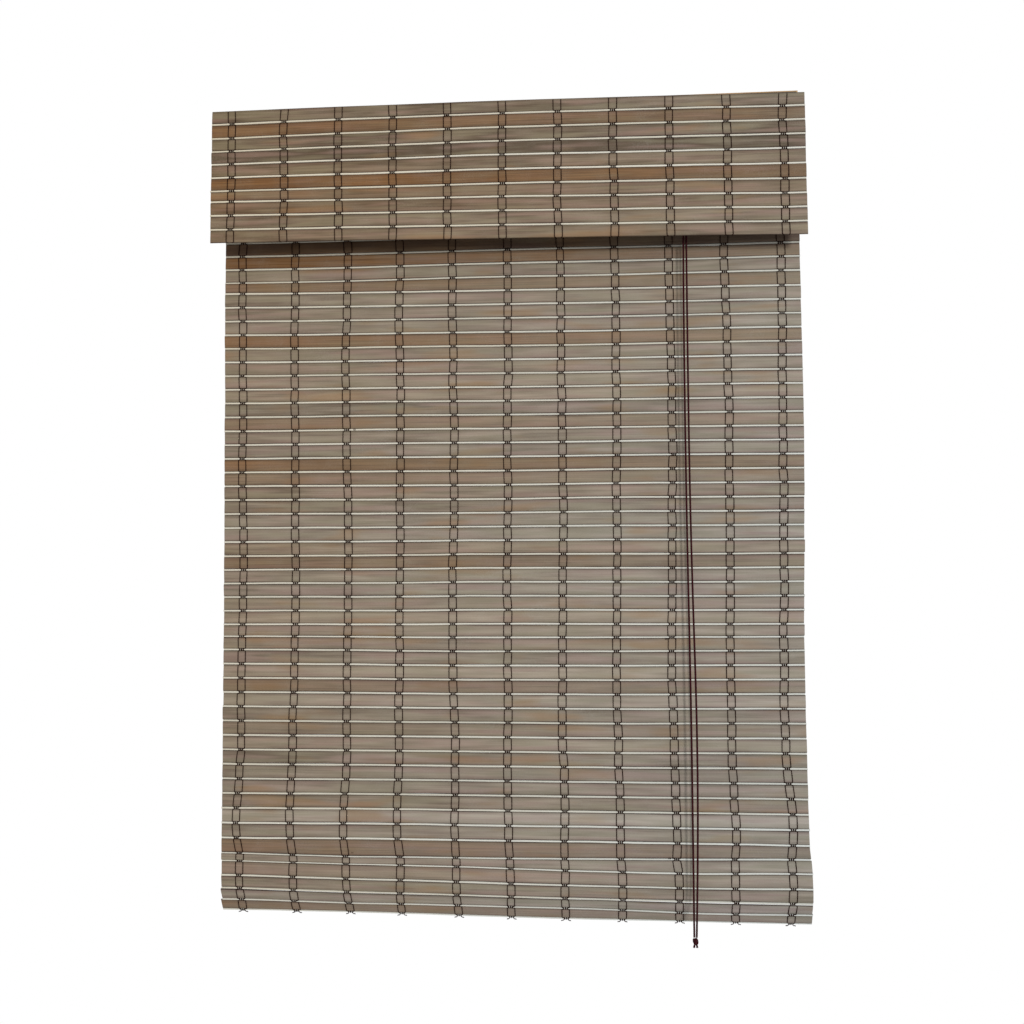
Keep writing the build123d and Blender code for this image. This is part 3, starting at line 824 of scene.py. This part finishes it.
class Mat:
    """One long piece of weave with its own wander, stains and thread columns."""

    def __init__(self, weave: Weave, rows: int, seed: int, tint: Tint, hang: Hang, wear: Wear = Wear()) -> None:
        """Draw every row's own character.

        Args:
            weave: sizes of the weave.
            rows: how many rows the mat has.
            seed: start of its random draws.
            tint: how its colour runs.
            hang: how it hangs off true.
            wear: how far its rows and threads stray.
        """
        self.weave, self.hang, self.wear = weave, hang, wear
        draw = np.random.default_rng(seed)
        # Tone drawn at random per row, on a painted light ramp from the top row to the bottom one.
        self.tone = draw.normal(0, wear.tone, rows) + np.linspace(*tint.painted_light_ramp, rows)
        self.cool = np.linspace(*tint.coolness, rows) + draw.normal(0, wear.cool, rows)
        self.warm = np.clip(draw.normal(wear.usual_stain, wear.warm, rows), 0, wear.most_stain)
        self.warm[list(tint.warm)] = list(tint.warm.values())
        for row, amount in tint.tones.items():
            self.tone[row] += amount
        # Painted shadow of the valance, row by row.
        self.valance_shadow = np.zeros(rows)
        for row, amount in tint.valance_shadow.items():
            self.valance_shadow[row] = amount
        self.stick_tone = draw.normal(0, wear.stick_tone, rows)
        self.ends = draw.normal(0, wear.slat_end, (rows, 2))
        self.stick_ends = draw.normal(0, wear.stick_end, (rows, 2))
        self.twist = draw.normal(0, wear.twist, (rows, 3))
        self.phase = draw.uniform(0, TAU, (rows, 8))
        self.wander = np.zeros((weave.column_count, rows + 1))
        for row in range(1, rows + 1):
            step = draw.normal(0, wear.column_step, weave.column_count)
            self.wander[:, row] = wear.column_memory * self.wander[:, row - 1] + step
        self.tick_shift = draw.normal(0, wear.tick, (weave.column_count, rows))
        self.barrel = draw.normal(0, wear.barrel, (weave.column_count, rows, 2))

    def drift(self, points: np.ndarray) -> np.ndarray:
        """Points moved by the mat's slow sag and waviness."""
        across, down = points[..., 0], points[..., 2]
        moved = points.copy()
        wave = np.sin(across * 9.0 + down * 4.0 + 0.6) + 0.6 * np.sin(across * 21.0 - down * 13.0)
        moved[..., 2] += self.wear.sag * wave
        moved[..., 1] += self.wear.billow * np.sin(across * 13.0 + down * 9.0)
        shift, rise = self.hang.moved(across, down)
        moved[..., 0] += shift
        moved[..., 2] += rise
        return moved

    def lay(self, run: Run, local: np.ndarray) -> np.ndarray:
        """Points of a run's rows, from (row, ..., [across, out, down]) to the frame.

        Args:
            run: where the rows hang.
            local: points of each row: across the mat, towards the back, and down from the row's top edge.

        Returns:
            The points in the frame.
        """
        shape = (run.rows,) + (1,) * (local.ndim - 2)
        down = local[..., 2] + (np.arange(run.rows) * self.weave.pitch).reshape(shape)
        lean = math.radians(run.tilt)
        back = run.back + local[..., 1] * math.cos(lean) + down * math.sin(lean)
        height = run.top + local[..., 1] * math.sin(lean) - down * math.cos(lean)
        return self.drift(np.stack([local[..., 0], back, height], axis=-1))

    def _spans(self, run: Run, ends: np.ndarray, count: int) -> tuple[np.ndarray, np.ndarray, np.ndarray]:
        """Places along the slats or sticks of a run.

        Args:
            run: the rows.
            ends: how far every row's two ends stray.
            count: how many places each row gets.

        Returns:
            The rows' numbers, the places across as (row, place), and the same as shares from -1 to 1.
        """
        rows = np.arange(run.first, run.first + run.rows)
        stations = np.linspace(-1, 1, count)
        left, right = -self.weave.width / 2 + ends[rows, 0], self.weave.width / 2 + ends[rows, 1]
        across = (left[:, None] + right[:, None]) / 2 + (right - left)[:, None] / 2 * stations[None]
        return rows, across, stations

    def slats(self, form: Form, run: Run) -> None:
        """Add the run's slats: long crowned strips, each with its own twist and cut ends."""
        weave = self.weave
        rows, across, stations = self._spans(run, self.ends, SLAT_STEPS)
        turn = self.twist[rows]
        angle = (turn[:, 0, None] + turn[:, 1, None] * stations + turn[:, 2, None] * np.sin(stations * 2.2))[..., None]
        out = SLAT_OUTLINE[None, None, :, 0] * weave.slat_thickness
        down = SLAT_OUTLINE[None, None, :, 1] * weave.slat_width
        bow = self.wear.slat_bow * np.sin(self.phase[rows, 0, None] + across * 14.0)[..., None]
        local = np.stack([np.broadcast_to(across[..., None], angle.shape[:2] + (len(SLAT_OUTLINE),)),
                          out * np.cos(angle) - down * np.sin(angle),
                          weave.slat_middle + bow + out * np.sin(angle) + down * np.cos(angle)], axis=-1)
        # Painted shade: the slats darken towards the left, away from the light.
        share = (across / (weave.width / 2))[..., None]
        # Painted shadow of the valance on the slats' fronts.
        valance_shadow_front = self.valance_shadow[rows, None, None] * (SLAT_OUTLINE[:, 0] < 0)
        # The edge mark is painted shade: dark crevices beside the sticks, and the valance's painted shadow.
        marks = {"edge": np.maximum(SLAT_SHADE, valance_shadow_front),
                 "tone": self.tone[rows, None, None] - SHADING.slat_tone - SHADING.left_painted_shade * ((1 - share) / 2) ** 2,
                 # Painted cool light, growing towards the right.
                 "cool": self.cool[rows, None, None] + SHADING.slat_right_cool_light * share,
                 "warm": self.warm[rows, None, None] * (SHADING.slat_stain[0] - SHADING.slat_stain[1] * share)}
        form.add_tubes(self.lay(run, local), marks=marks)

    def sticks(self, form: Form, run: Run) -> None:
        """Add the run's sticks: thin reeds that wander between the thread columns."""
        weave = self.weave
        rows, across, _ = self._spans(run, self.stick_ends, STICK_STEPS)
        near = np.abs(across[..., None] - weave.columns()).min(axis=-1)
        free = 1 - np.exp(-(near / self.wear.held) ** 2)
        phase = self.phase[rows]
        swing = (np.sin(across * 31 + phase[:, 1, None]) + 0.7 * np.sin(across * 83 + phase[:, 2, None]))
        sway = self.wear.stick_sway * swing * free
        push = self.wear.stick_push * np.sin(across * 47 + phase[:, 3, None]) * free
        radius = weave.stick_radius * (0.98 + 0.04 * np.sin(across * 23 + phase[:, 4, None])
                                       + 0.03 * np.sin(across * 71 + phase[:, 5, None]))
        angles = np.linspace(0, TAU, STICK_SIDES, endpoint=False)
        local = np.stack([np.broadcast_to(across[..., None], across.shape + (STICK_SIDES,)),
                          push[..., None] - radius[..., None] * np.cos(angles),
                          weave.stick_middle + sway[..., None] + radius[..., None] * np.sin(angles)], axis=-1)
        # Painted shade on each stick's top and bottom, where it meets the slats.
        shade = np.clip(np.abs(np.sin(angles)) * 2.2 - 1.4, 0, 1)
        share = (across / (weave.width / 2))[..., None]
        # Painted shadow of the valance on the sticks.
        marks = {"edge": np.maximum(shade, SHADING.stick_valance_shadow * self.valance_shadow[rows, None, None]),
                 "tone": self.stick_tone[rows, None, None],
                 # Painted cool light, growing towards the right.
                 "cool": self.cool[rows, None, None] * SHADING.stick_cool + SHADING.stick_right_cool_light * share}
        form.add_tubes(self.lay(run, local), marks=marks)

    def _columns(self, run: Run, local: np.ndarray) -> np.ndarray:
        """Points of a run, as (column, station, 3) down each thread column."""
        return self.lay(run, local).transpose(1, 0, 2, 3).reshape(self.weave.column_count, -1, 3)

    def threads(self, form: Form, run: Run, tails: bool = False, bare: bool = False) -> None:
        """Add the run's thread columns.

        Args:
            form: the piece that takes them.
            run: the rows that they bind.
            tails: whether cut tails spread out under the last row.
            bare: whether the last row has no stick, so that the threads stop at its slat.
        """
        weave, columns = self.weave, self.weave.columns()
        rows = np.arange(run.first, run.first + run.rows)
        start, end = self.wander[:, rows].T[..., None], self.wander[:, rows + 1].T[..., None]
        for side, template in ((-1, FRONT_STRAND), (1, FRONT_STRAND), (0, MIDDLE_STRAND)):
            out, down = template[:, 0], template[:, 2]
            tied = down > TIE_START
            local = np.broadcast_to(template, (run.rows, weave.column_count, len(template), 3)).copy()
            if side:
                local[..., 0] += (out > SLAT_BULGE) * self.barrel[:, rows, (side + 1) // 2].T[..., None]
                local[..., 0] *= side
            local[..., 0] += columns[None, :, None] + start + (end - start) * np.clip(down / weave.pitch, 0, 1)
            local[..., 0] += tied * (down < TIE_END) * self.tick_shift[:, rows].T[..., None]
            paths = self._columns(run, local)
            thickness = weave.thread_radius * (1 + weave.tie_swell * np.tile(tied, run.rows + 1))
            if run.first == 0:
                paths, thickness = paths[:, FIRST_POINTS:], thickness[FIRST_POINTS:]
            if bare:
                paths = paths[:, :paths.shape[1] - int((down > BARE_END).sum())]
            else:
                close = local[-1:, :, :1].copy()
                close[..., 0] = side * out[0] + columns[None, :, None] + self.wander[:, rows[-1:] + 1].T[..., None]
                close[..., 2] = down[0] + weave.pitch
                below = close + np.array([0, 0, (run.rows - 1) * weave.pitch])
                paths = np.concatenate([paths, self._columns(replace(run, rows=1), below)], axis=1)
            if tails and side:
                paths = np.concatenate([paths, paths[:, -1:, :] + THREAD_TAIL * np.array([side, 1, 1])], axis=1)
            radii = np.broadcast_to(thickness[:paths.shape[1]], paths.shape[:2])
            form.add_tubes(tube_rings(paths, radii, THREAD_SIDES, (0.0, 1.0, 0.0) if side else (1.0, 0.0, 0.0)))


class Part(Enum):
    """What a woven piece is made of."""

    SLATS = "slats"
    STICKS = "sticks"
    THREADS = "threads"


@dataclass
class WovenMats:
    """The valance and the folding shade, one set of pieces for each body of the frame."""

    weave: Weave
    finishes: Finishes
    fixed_rows: int = 10
    valance_rows: int = 10
    upper_rows: int = 6
    lower_rows: int = 7
    hem_rows: int = 3
    hem_curl: tuple[float, ...] = (8.0, 29.0, 31.0)
    # Rows drawn at random, two more than the shade has; another number would change every draw.
    drawn_rows: int = 60
    valance_weave: Weave = Weave(width=600 * MM, side_margin=21 * MM)

    def stretches(self) -> dict[str, list[Run]]:
        """Runs of rows of the shade for each node family, from the top down."""
        plan = {"top": self.fixed_rows, "panel_1": self.upper_rows, "panel_2": self.upper_rows, "ring_row_1": 1,
                "panel_3": self.lower_rows, "panel_4": self.lower_rows, "ring_row_2": 1,
                "panel_5": self.lower_rows, "panel_6": self.lower_rows}
        runs, row, top = {}, 0, self.weave.mat_top
        for name, rows in plan.items():
            runs[name] = [Run(self.weave.mat_back, top, rows, first=row)]
            row += rows
            top -= rows * self.weave.pitch
        runs["hem"] = self._hem(top, row)
        return runs

    def _hem(self, top: float, row: int) -> list[Run]:
        """The hem's runs: straight rows and a curl at the bottom."""
        room = self.weave.bend_room
        back, height = self.weave.mat_back, top
        plan = [(0.0, self.hem_rows)] + [(tilt, 1) for tilt in self.hem_curl]
        runs = []
        for (tilt, rows), (following, _) in zip(plan, plan[1:] + plan[-1:]):
            runs.append(Run(back, height, rows, tilt, row))
            bend = room * math.tan(math.radians(abs(following - tilt)) / 2)
            reach = rows * self.weave.pitch + bend
            back += reach * math.sin(math.radians(tilt)) + bend * math.sin(math.radians(following))
            height -= reach * math.cos(math.radians(tilt)) + bend * math.cos(math.radians(following))
            row += rows
        return runs

    def build(self) -> None:
        """Weave every stretch and put it on its body."""
        shade = Mat(self.weave, self.drawn_rows, 11, SHADE_TINT, SHADE_HANG)
        spread = np.interp(np.arange(self.drawn_rows + 1), *COLUMN_SPREAD) * MM
        shade.wander += spread * np.linspace(-1, 1, self.weave.column_count)[:, None]
        for ends in (shade.ends, shade.stick_ends):
            ends[CURLED_ROWS, 0] -= np.array(CURLED_REACH) * MM
        valance = Mat(self.valance_weave, self.valance_rows, 23, VALANCE_TINT, VALANCE_HANG)
        front = [Run(self.weave.valance_back, 0.0, self.valance_rows)]
        self._weave("valance", "headrail", valance, front)
        for name, runs in self.stretches().items():
            self._weave(name, "headrail" if name == "top" else name, shade, runs)

    def _weave(self, name: str, body: str, mat: Mat, runs: list[Run]) -> None:
        """Make one stretch's slats, sticks and threads.

        Args:
            name: the stretch's name.
            body: the body that carries it.
            mat: the mat that it is cut from.
            runs: its flat runs.
        """
        finish = {Part.SLATS: (self.finishes.bamboo, "bamboo_slats"), Part.STICKS: (self.finishes.reed, "pale_sticks"),
                  Part.THREADS: (self.finishes.thread, "brown_thread")}
        for part, (material, slot) in finish.items():
            form = Form()
            for run in runs:
                if part is Part.SLATS:
                    mat.slats(form, run)
                elif part is Part.STICKS:
                    mat.sticks(form, replace(run, rows=run.rows - 1) if name == "valance" else run)
                else:
                    mat.threads(form, run, name == "hem" and run is runs[-1], name == "valance")
            place(form.build(f"woven_{name}_{part.value}", material), body, slot, f"{name}_{part.value}")


def place(piece: bpy.types.Object, body: str, slot: str, *nodes: str) -> bpy.types.Object:
    """Put a piece on its body and let it stand for its nodes.

    Args:
        piece: the new object.
        body: the body that carries it.
        slot: the record's material slot; not used.
        nodes: the nodes that it replaces.

    Returns:
        The piece.
    """
    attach(piece, body)
    if nodes:
        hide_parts(*nodes)
    log.info("%s rides on %s", piece.name, body)
    return piece


# ---- Cords


def spline_points(name: str, route: list[tuple[float, float, float]], resolution: int) -> np.ndarray:
    """Points along the smooth line of a cord.

    Args:
        name: a name for the short-lived curve.
        route: the cord's control points, in millimetres.
        resolution: points between each two control points.

    Returns:
        Points along the line, in metres.
    """
    curve = bpy.data.curves.new(name, "CURVE")
    curve.dimensions = "3D"
    line = curve.splines.new("NURBS")
    line.points.add(len(route) - 1)
    for point, (x, y, z) in zip(line.points, route):
        point.co = (x * MM, y * MM, z * MM, 1.0)
    line.order_u = 3
    line.use_endpoint_u = True
    line.resolution_u = resolution
    holder = bpy.data.objects.new(name, curve)
    bpy.context.scene.collection.objects.link(holder)
    bpy.context.view_layer.update()
    mesh = bpy.data.meshes.new_from_object(holder)
    points = np.array([vertex.co for vertex in mesh.vertices])
    bpy.data.objects.remove(holder)
    bpy.data.curves.remove(curve)
    bpy.data.meshes.remove(mesh)
    return points


def even_steps(points: np.ndarray, step: float, dense: tuple[float, float] | None = None) -> np.ndarray:
    """Points set evenly along a line, closer together between two heights.

    Args:
        points: the line.
        step: the distance between points.
        dense: the heights between which they stand ten times closer.

    Returns:
        The new points.
    """
    lengths = distances(points)
    stops = np.linspace(0, lengths[-1], max(4, int(lengths[-1] / step)))
    if dense:
        heights = np.interp(stops, lengths, points[:, 2])
        inside = stops[(heights < dense[0]) & (heights > dense[1])]
        if len(inside):
            stops = np.unique(np.concatenate([stops, np.linspace(inside[0], inside[-1], len(inside) * 10)]))
    return np.stack([np.interp(stops, lengths, points[:, axis]) for axis in range(3)], axis=-1)


@dataclass
class Cords:
    """The lift cords behind the mat, their runs over it, and the two pull cords in front."""

    finishes: Finishes
    diameter: float = 2.0 * MM
    lift_x: float = 158.0
    ring_y: float = 26.05
    lift_turn: float = -36.5
    second_ring: float = -541.0
    cord_level: float = -24.5
    lock_x: float = 178.0
    valance_edge: float = -143.0 * MM
    strands: int = 4
    groove: float = 0.12
    swell: float = 1.06
    twist_pitch: float = 7 * MM
    step: float = 0.7 * MM
    free_length: float = 801 * MM
    left: tuple = ((178, 0.6, -24.5), (184.05, 0.6, -24.5), (183.85, 0.7, -60), (180.0, 2.0, -143.0),
                   (179.1, 2.4, -400), (180.5, 2.4, -600), (180.0, 2.1, -750), (179.7, 2.1, -822))
    right: tuple = ((178, 3.4, -24.5), (184.05, 3.4, -24.5), (184.15, 3.4, -60), (183.6, 3.0, -143.0),
                    (182.7, 2.9, -360), (183.6, 2.8, -480), (186.1, 2.7, -625), (184.6, 2.4, -750),
                    (182.0, 2.1, -822))
    knot_middle: tuple[float, float, float] = (180.85, 2.1, -825.75)
    knot_spread: tuple[float, float, float] = (0.62, 0.55, 1.9)
    knot_radius: float = 1.1 * MM

    def rope(self, name: str, path: np.ndarray, normal: tuple[float, float, float]) -> bpy.types.Object:
        """A twisted cord along a path.

        Args:
            name: the piece's name.
            path: points along its middle.
            normal: a direction across its first run.

        Returns:
            The new object.
        """
        radii = np.full((1, len(path)), self.diameter / 2 * self.swell)
        twist = distances(path) / self.twist_pitch * TAU
        form = Form()
        form.add_tubes(tube_rings(path[None], radii, 12, normal, self.strands, self.groove, twist))
        return form.build(name, self.finishes.cord)

    def build(self) -> None:
        """Make every cord."""
        knot = self._knot()
        for side, route in (("left", self.left), ("right", self.right)):
            line = spline_points(f"pull_line_{side}", list(route), 60)
            path = even_steps(line, self.step, (self.valance_edge + 1 * MM, self.valance_edge - 6 * MM))
            piece = self.rope(f"pull_cord_{side}", path, (0.0, 1.0, 0.0))
            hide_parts(f"pull_cord_{side}_top", f"pull_cord_{side}_drop")
            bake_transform(piece)
            log.info("%s hangs %.0f mm", piece.name, self.free_length / MM)
        self._lifts()

    def _lifts(self) -> None:
        """The cords through the rings, which shorten as the blind lifts, and their runs to the lock."""
        for side, sign, lane in (("left", -1, 0.6), ("right", 1, 3.4)):
            node = f"lift_cord_{side}"
            x, height = sign * self.lift_x, self.cord_level
            low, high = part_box(node)
            start, end = (x, self.ring_y, self.lift_turn), (x, (high.y - self.diameter / 2) / MM, low.z / MM)
            line = np.array([start, (x, self.ring_y, self.second_ring), end]) * MM
            piece = self.rope(f"rear_{node}", even_steps(line, 1 * MM), (1.0, 0.0, 0.0))
            place(piece, "headrail", "maroon_cord", node)
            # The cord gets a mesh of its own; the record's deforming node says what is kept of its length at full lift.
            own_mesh(piece)
            route = [start, (x, self.ring_y, height - 4), (x, self.ring_y - 1, height), (x, 9.0, height),
                     (x, lane + 4, height), (x + 1.5, lane, height), (x + 6, lane, height),
                     (self.lock_x, lane, height)]
            run = even_steps(spline_points(f"run_line_{side}", route, 30), self.step)
            over = self.rope(f"lift_run_over_{side}", run, (1.0, 0.0, 0.0))
            place(over, "headrail", "maroon_cord", f"lift_run_{side}")

    def _knot(self) -> bpy.types.Object:
        """The overhand knot that ties the pull cords together, with two short tails."""
        turns = np.linspace(0, TAU, 90, endpoint=False)
        middle = np.array(self.knot_middle) * MM
        wide, deep, high = self.knot_spread
        path = np.stack([(np.sin(turns) + 2 * np.sin(2 * turns)) * wide, (np.cos(turns) - 2 * np.cos(2 * turns)) * deep,
                         -np.sin(3 * turns) * high], axis=-1) * MM + middle
        form = Form()
        rings = tube_rings(path[None], np.full((1, 90), self.knot_radius), 10, (0.0, 0.0, 1.0))
        form.add_tubes(rings, closed=True)
        for sign in (-1, 1):
            tail = np.array([(sign * 0.5, 0, -1), (sign * 0.9, 0.2, -3), (sign * 1.3, 0.1, -4.5),
                             (sign * 1.5, 0.2, -5.8)]) * MM
            radii = np.array([[0.9, 0.9, 0.95, 1.05]]) * MM
            form.add_tubes(tube_rings((tail + middle)[None], radii, 10, (1.0, 0.0, 0.0)))
        return place(form.build("pull_knot", self.finishes.cord), "pull_cords", "maroon_cord", "cord_knot")


# ---- Rings, beads and eyes


def hoop(middle: np.ndarray, radius: float, thickness: float, upright: bool, squeeze: float = 1.0) -> np.ndarray:
    """Rings of points of a closed hoop.

    Args:
        middle: its centre.
        radius: from its centre to the middle of its wire.
        thickness: the wire's radius.
        upright: whether it stands across X instead of lying flat.
        squeeze: height of the wire as a share of its width.

    Returns:
        Points as (1, station, around, 3).
    """
    turns = np.linspace(0, TAU, 40, endpoint=False)
    wire = np.linspace(0, TAU, 12, endpoint=False)
    out = radius + thickness * np.cos(wire)[None]
    rise = thickness * squeeze * np.sin(wire)[None] * np.ones((40, 1))
    first, second = out * np.cos(turns)[:, None], out * np.sin(turns)[:, None]
    points = np.stack([first, rise, second] if upright else [first, second, rise], axis=-1)
    return (points + middle)[None]


@dataclass
class LiftHardware:
    """Lift rings tied to the sticks, stop beads on the cords, and guide eyes under the headrail."""

    finishes: Finishes
    lift_x: float = 158 * MM
    wire: float = 1.0 * MM
    ring_radius: float = 4.0 * MM
    tie: float = 0.32 * MM
    eye_wire: float = 0.8 * MM
    eye_radius: float = 3.7 * MM
    eye_level: float = 4.5 * MM
    shank_start: float = 3.3 * MM
    shank_radius: float = 1.0 * MM

    def build(self) -> None:
        """Make the rings, beads and eyes from the boxes of their nodes."""
        for body in ("ring_row_1", "ring_row_2", "hem"):
            self._rings(f"{body}_rings", body)
        self._beads()
        for side, sign in (("left", -1), ("right", 1)):
            self._eye(side, sign)

    def _rings(self, node: str, body: str) -> None:
        """A pair of moulded rings, and the thread that ties each one to its stick."""
        low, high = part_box(node)
        form, ties = Form(), Form()
        height, back = (low.z + high.z) / 2, (low.y + high.y) / 2
        turns = np.linspace(0, TAU, 20, endpoint=False)
        loop = np.stack([np.zeros(20), 1.65 * MM * np.cos(turns), 1.15 * MM * np.sin(turns)], axis=-1)
        for sign in (-1, 1):
            middle = np.array([sign * self.lift_x, back, height])
            form.add_tubes(hoop(middle, self.ring_radius, self.wire, False, 0.8), closed=True)
            for shift in (-0.9, 0.0, 0.9):
                knot = np.array([sign * self.lift_x + shift * MM, low.y - 0.35 * MM, height])
                rings = tube_rings((loop + knot)[None], np.full((1, 20), self.tie), 6, (1.0, 0.0, 0.0))
                ties.add_tubes(rings, closed=True)
        place(form.build(f"moulded_{node}", self.finishes.ring), body, "ring_plastic", node)
        place(ties.build(f"{node}_ties", self.finishes.thread), body, "brown_thread")

    def _beads(self) -> None:
        """Bell-shaped stop beads on the ends of the lift cords."""
        low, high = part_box("stop_beads")
        height = high.z - low.z
        outline = np.array([(0.0, 1.0), (1.5, 1.0), (2.2, 0.97), (2.9, 0.86), (3.25, 0.68), (3.3, 0.5), (3.1, 0.36),
                            (3.45, 0.27), (3.9, 0.16), (3.95, 0.06), (3.6, 0.0), (1.2, 0.0), (0.0, 0.03)])
        angles = np.linspace(0, TAU, 28, endpoint=False)
        form = Form()
        for sign in (-1, 1):
            middle = np.array([sign * self.lift_x, (low.y + high.y) / 2, low.z])
            radius, rise = outline[:, :1] * MM, outline[:, 1:] * height
            points = np.stack([radius * np.cos(angles), radius * np.sin(angles), rise * np.ones(28)], axis=-1)
            form.add_tubes((points[1:-1] + middle)[None])
        place(form.build("turned_stop_beads", self.finishes.ring), "hem", "ring_plastic", "stop_beads")

    def _eye(self, side: str, sign: int) -> None:
        """A screw eye: a wire ring under a threaded shank."""
        node = f"guide_eye_{side}"
        low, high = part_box(node)
        form = Form()
        middle = np.array([sign * self.lift_x, (low.y + high.y) / 2, low.z + self.eye_level])
        form.add_tubes(hoop(middle, self.eye_radius, self.eye_wire, True), closed=True)
        rise = np.linspace(middle[2] + self.shank_start, high.z, 40)
        path = np.stack([np.full(40, middle[0]), np.full(40, middle[1]), rise], axis=-1)
        threads = 0.86 + 0.12 * np.sin(np.arange(40) * TAU / 4)
        threads[:6] = 1.0
        threads[-4:] *= np.linspace(0.9, 0.2, 4)
        form.add_tubes(tube_rings(path[None], threads[None] * self.shank_radius, 14, (1.0, 0.0, 0.0)))
        place(form.build(f"screw_eye_{side}", self.finishes.steel), "headrail", "plated_steel", node)


@dataclass
class CarriedNodes:
    """Rigid parts whose solids are right as they are, and get only their finishes."""

    finishes: Finishes

    def build(self) -> None:
        """Give each one its material."""
        finish = {"headrail": self.finishes.softwood, "valance_tape": self.finishes.tape,
                  "mat_staples": self.finishes.steel, "lock_screws": self.finishes.steel,
                  "lock_axle": self.finishes.steel, "lock_housing": self.finishes.housing,
                  "lock_pulley": self.finishes.nylon, "lock_roller": self.finishes.brass}
        for node, material in finish.items():
            for slot in bpy.data.objects[node].material_slots:
                slot.material = material
            log.info("%s keeps its solid", node)


# ---- Studio


@dataclass(frozen=True)
class Lamp:
    """A square lamp: its power in watts and its side in metres."""

    name: str
    place: tuple[float, float, float]
    power: float
    size: float
    colour: tuple[float, float, float]


@dataclass
class Studio:
    """Camera at the photograph's place, soft lamps, and a pale floor."""

    eye: tuple[float, float, float] = (0.11624, -1.14646, -0.43060)
    yaw: float = 0.0868
    pitch: float = 0.0773
    roll: float = 0.0062
    lens: float = 40.53
    shift: tuple[float, float] = (-0.0092, -0.0707)
    floor_level: float = -1.6
    floor_side: float = 2.4
    floor_glow: float = 0.7
    sky: Colour = (0.97, 0.985, 1.0, 1.0)
    sky_strength: float = 0.52
    aim: tuple[float, float, float] = (0, 0, -0.4)
    lamps: tuple[Lamp, ...] = (Lamp("key_lamp", (1.6, -4.4, 0.2), 97.0, 0.55, (1.0, 0.985, 0.96)),
                               Lamp("side_lamp", (2.2, -0.9, -0.6), 2.0, 0.9, (0.86, 0.92, 1.0)))

    def build(self) -> None:
        """Set up the camera, the lamps, the world and the floor."""
        self._camera()
        self._world()
        for lamp in self.lamps:
            self._lamp(lamp)
        self._floor()
        bpy.context.scene.view_settings.view_transform = "Standard"

    def _camera(self) -> None:
        """The camera, turned as the photograph's was."""
        data = bpy.data.cameras.new("camera")
        data.lens, data.sensor_width = self.lens, 36.0
        data.shift_x, data.shift_y = self.shift
        data.clip_start, data.clip_end = 0.05, 50.0
        camera = bpy.data.objects.new("camera", data)
        bpy.context.scene.collection.objects.link(camera)
        turn = (Matrix.Rotation(self.yaw, 3, "Z") @ Matrix.Rotation(self.pitch, 3, "X")
                @ Matrix.Rotation(self.roll, 3, "Y"))
        right, forward, up = turn.col[0], turn.col[1], turn.col[2]
        aim = Matrix((right, up, -forward)).transposed().to_4x4()
        camera.matrix_world = Matrix.Translation(self.eye) @ aim
        bpy.context.scene.camera = camera

    def _world(self) -> None:
        """White where the camera, a gloss or a glass looks, and a softer grey as light."""
        world = bpy.data.worlds.new("studio")
        bpy.context.scene.world = world
        world.use_nodes = True
        sketch = Sketch(world.node_tree)
        seen = self._seen(sketch)
        light = world.node_tree.nodes["Background"]
        sketch.give(light, Color=self.sky, Strength=self.sky_strength)
        white = sketch.node("ShaderNodeBackground", {"Color": (1, 1, 1, 1), "Strength": 1.0})
        both = sketch.node("ShaderNodeMixShader", {0: seen, 1: light.outputs[0], 2: white.outputs[0]})
        sketch.feed(world.node_tree.nodes["World Output"].inputs["Surface"], both.outputs[0])

    def _seen(self, sketch: Sketch) -> bpy.types.NodeSocket:
        """1 for rays that should find the white background."""
        rays = sketch.node("ShaderNodeLightPath")
        seen = sketch.math("MAXIMUM", rays.outputs["Is Camera Ray"], rays.outputs["Is Glossy Ray"])
        return sketch.math("MAXIMUM", seen, rays.outputs["Is Transmission Ray"])

    def _lamp(self, lamp: Lamp) -> None:
        """A soft square lamp that faces the middle of the blind."""
        data = bpy.data.lights.new(lamp.name, "AREA")
        data.energy, data.size, data.color = lamp.power, lamp.size, lamp.colour
        made = bpy.data.objects.new(lamp.name, data)
        bpy.context.scene.collection.objects.link(made)
        made.location = lamp.place
        made.rotation_euler = (Vector(self.aim) - Vector(lamp.place)).to_track_quat("-Z", "Y").to_euler()

    def _floor(self) -> None:
        """A pale floor far below, white to the camera but for a soft shadow."""
        form = Form()
        half = self.floor_side / 2
        corners = np.array([(-half, -half, 0), (half, -half, 0), (half, half, 0), (-half, half, 0)], float)
        form.add(corners + np.array([0, 0, self.floor_level]), [np.array([[0, 1, 2, 3]])])
        material = bpy.data.materials.new("pale_floor")
        material.use_nodes = True
        sketch = Sketch(material.node_tree)
        shader = material.node_tree.nodes["Principled BSDF"]
        shader.inputs["Base Color"].default_value = (0.82, 0.82, 0.82, 1)
        shader.inputs["Roughness"].default_value = 0.9
        glow = sketch.node("ShaderNodeEmission", {"Color": (1, 1, 1, 1), "Strength": 1.0})
        share = sketch.math("MULTIPLY", self._seen(sketch), self.floor_glow)
        both = sketch.node("ShaderNodeMixShader", {0: share, 1: shader.outputs[0], 2: glow.outputs[0]})
        sketch.feed(material.node_tree.nodes["Material Output"].inputs["Surface"], both.outputs[0])
        form.build("pale_floor", material, smooth=False)


def main() -> None:
    """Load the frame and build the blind's looks."""
    logging.basicConfig(level=logging.INFO, format="%(name)s: %(message)s")
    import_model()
    Studio().build()
    finishes = Finishes(Effects())
    Cords(finishes).build()
    WovenMats(Weave(), finishes).build()
    LiftHardware(finishes).build()
    CarriedNodes(finishes).build()


if __name__ == "__main__":
    main()
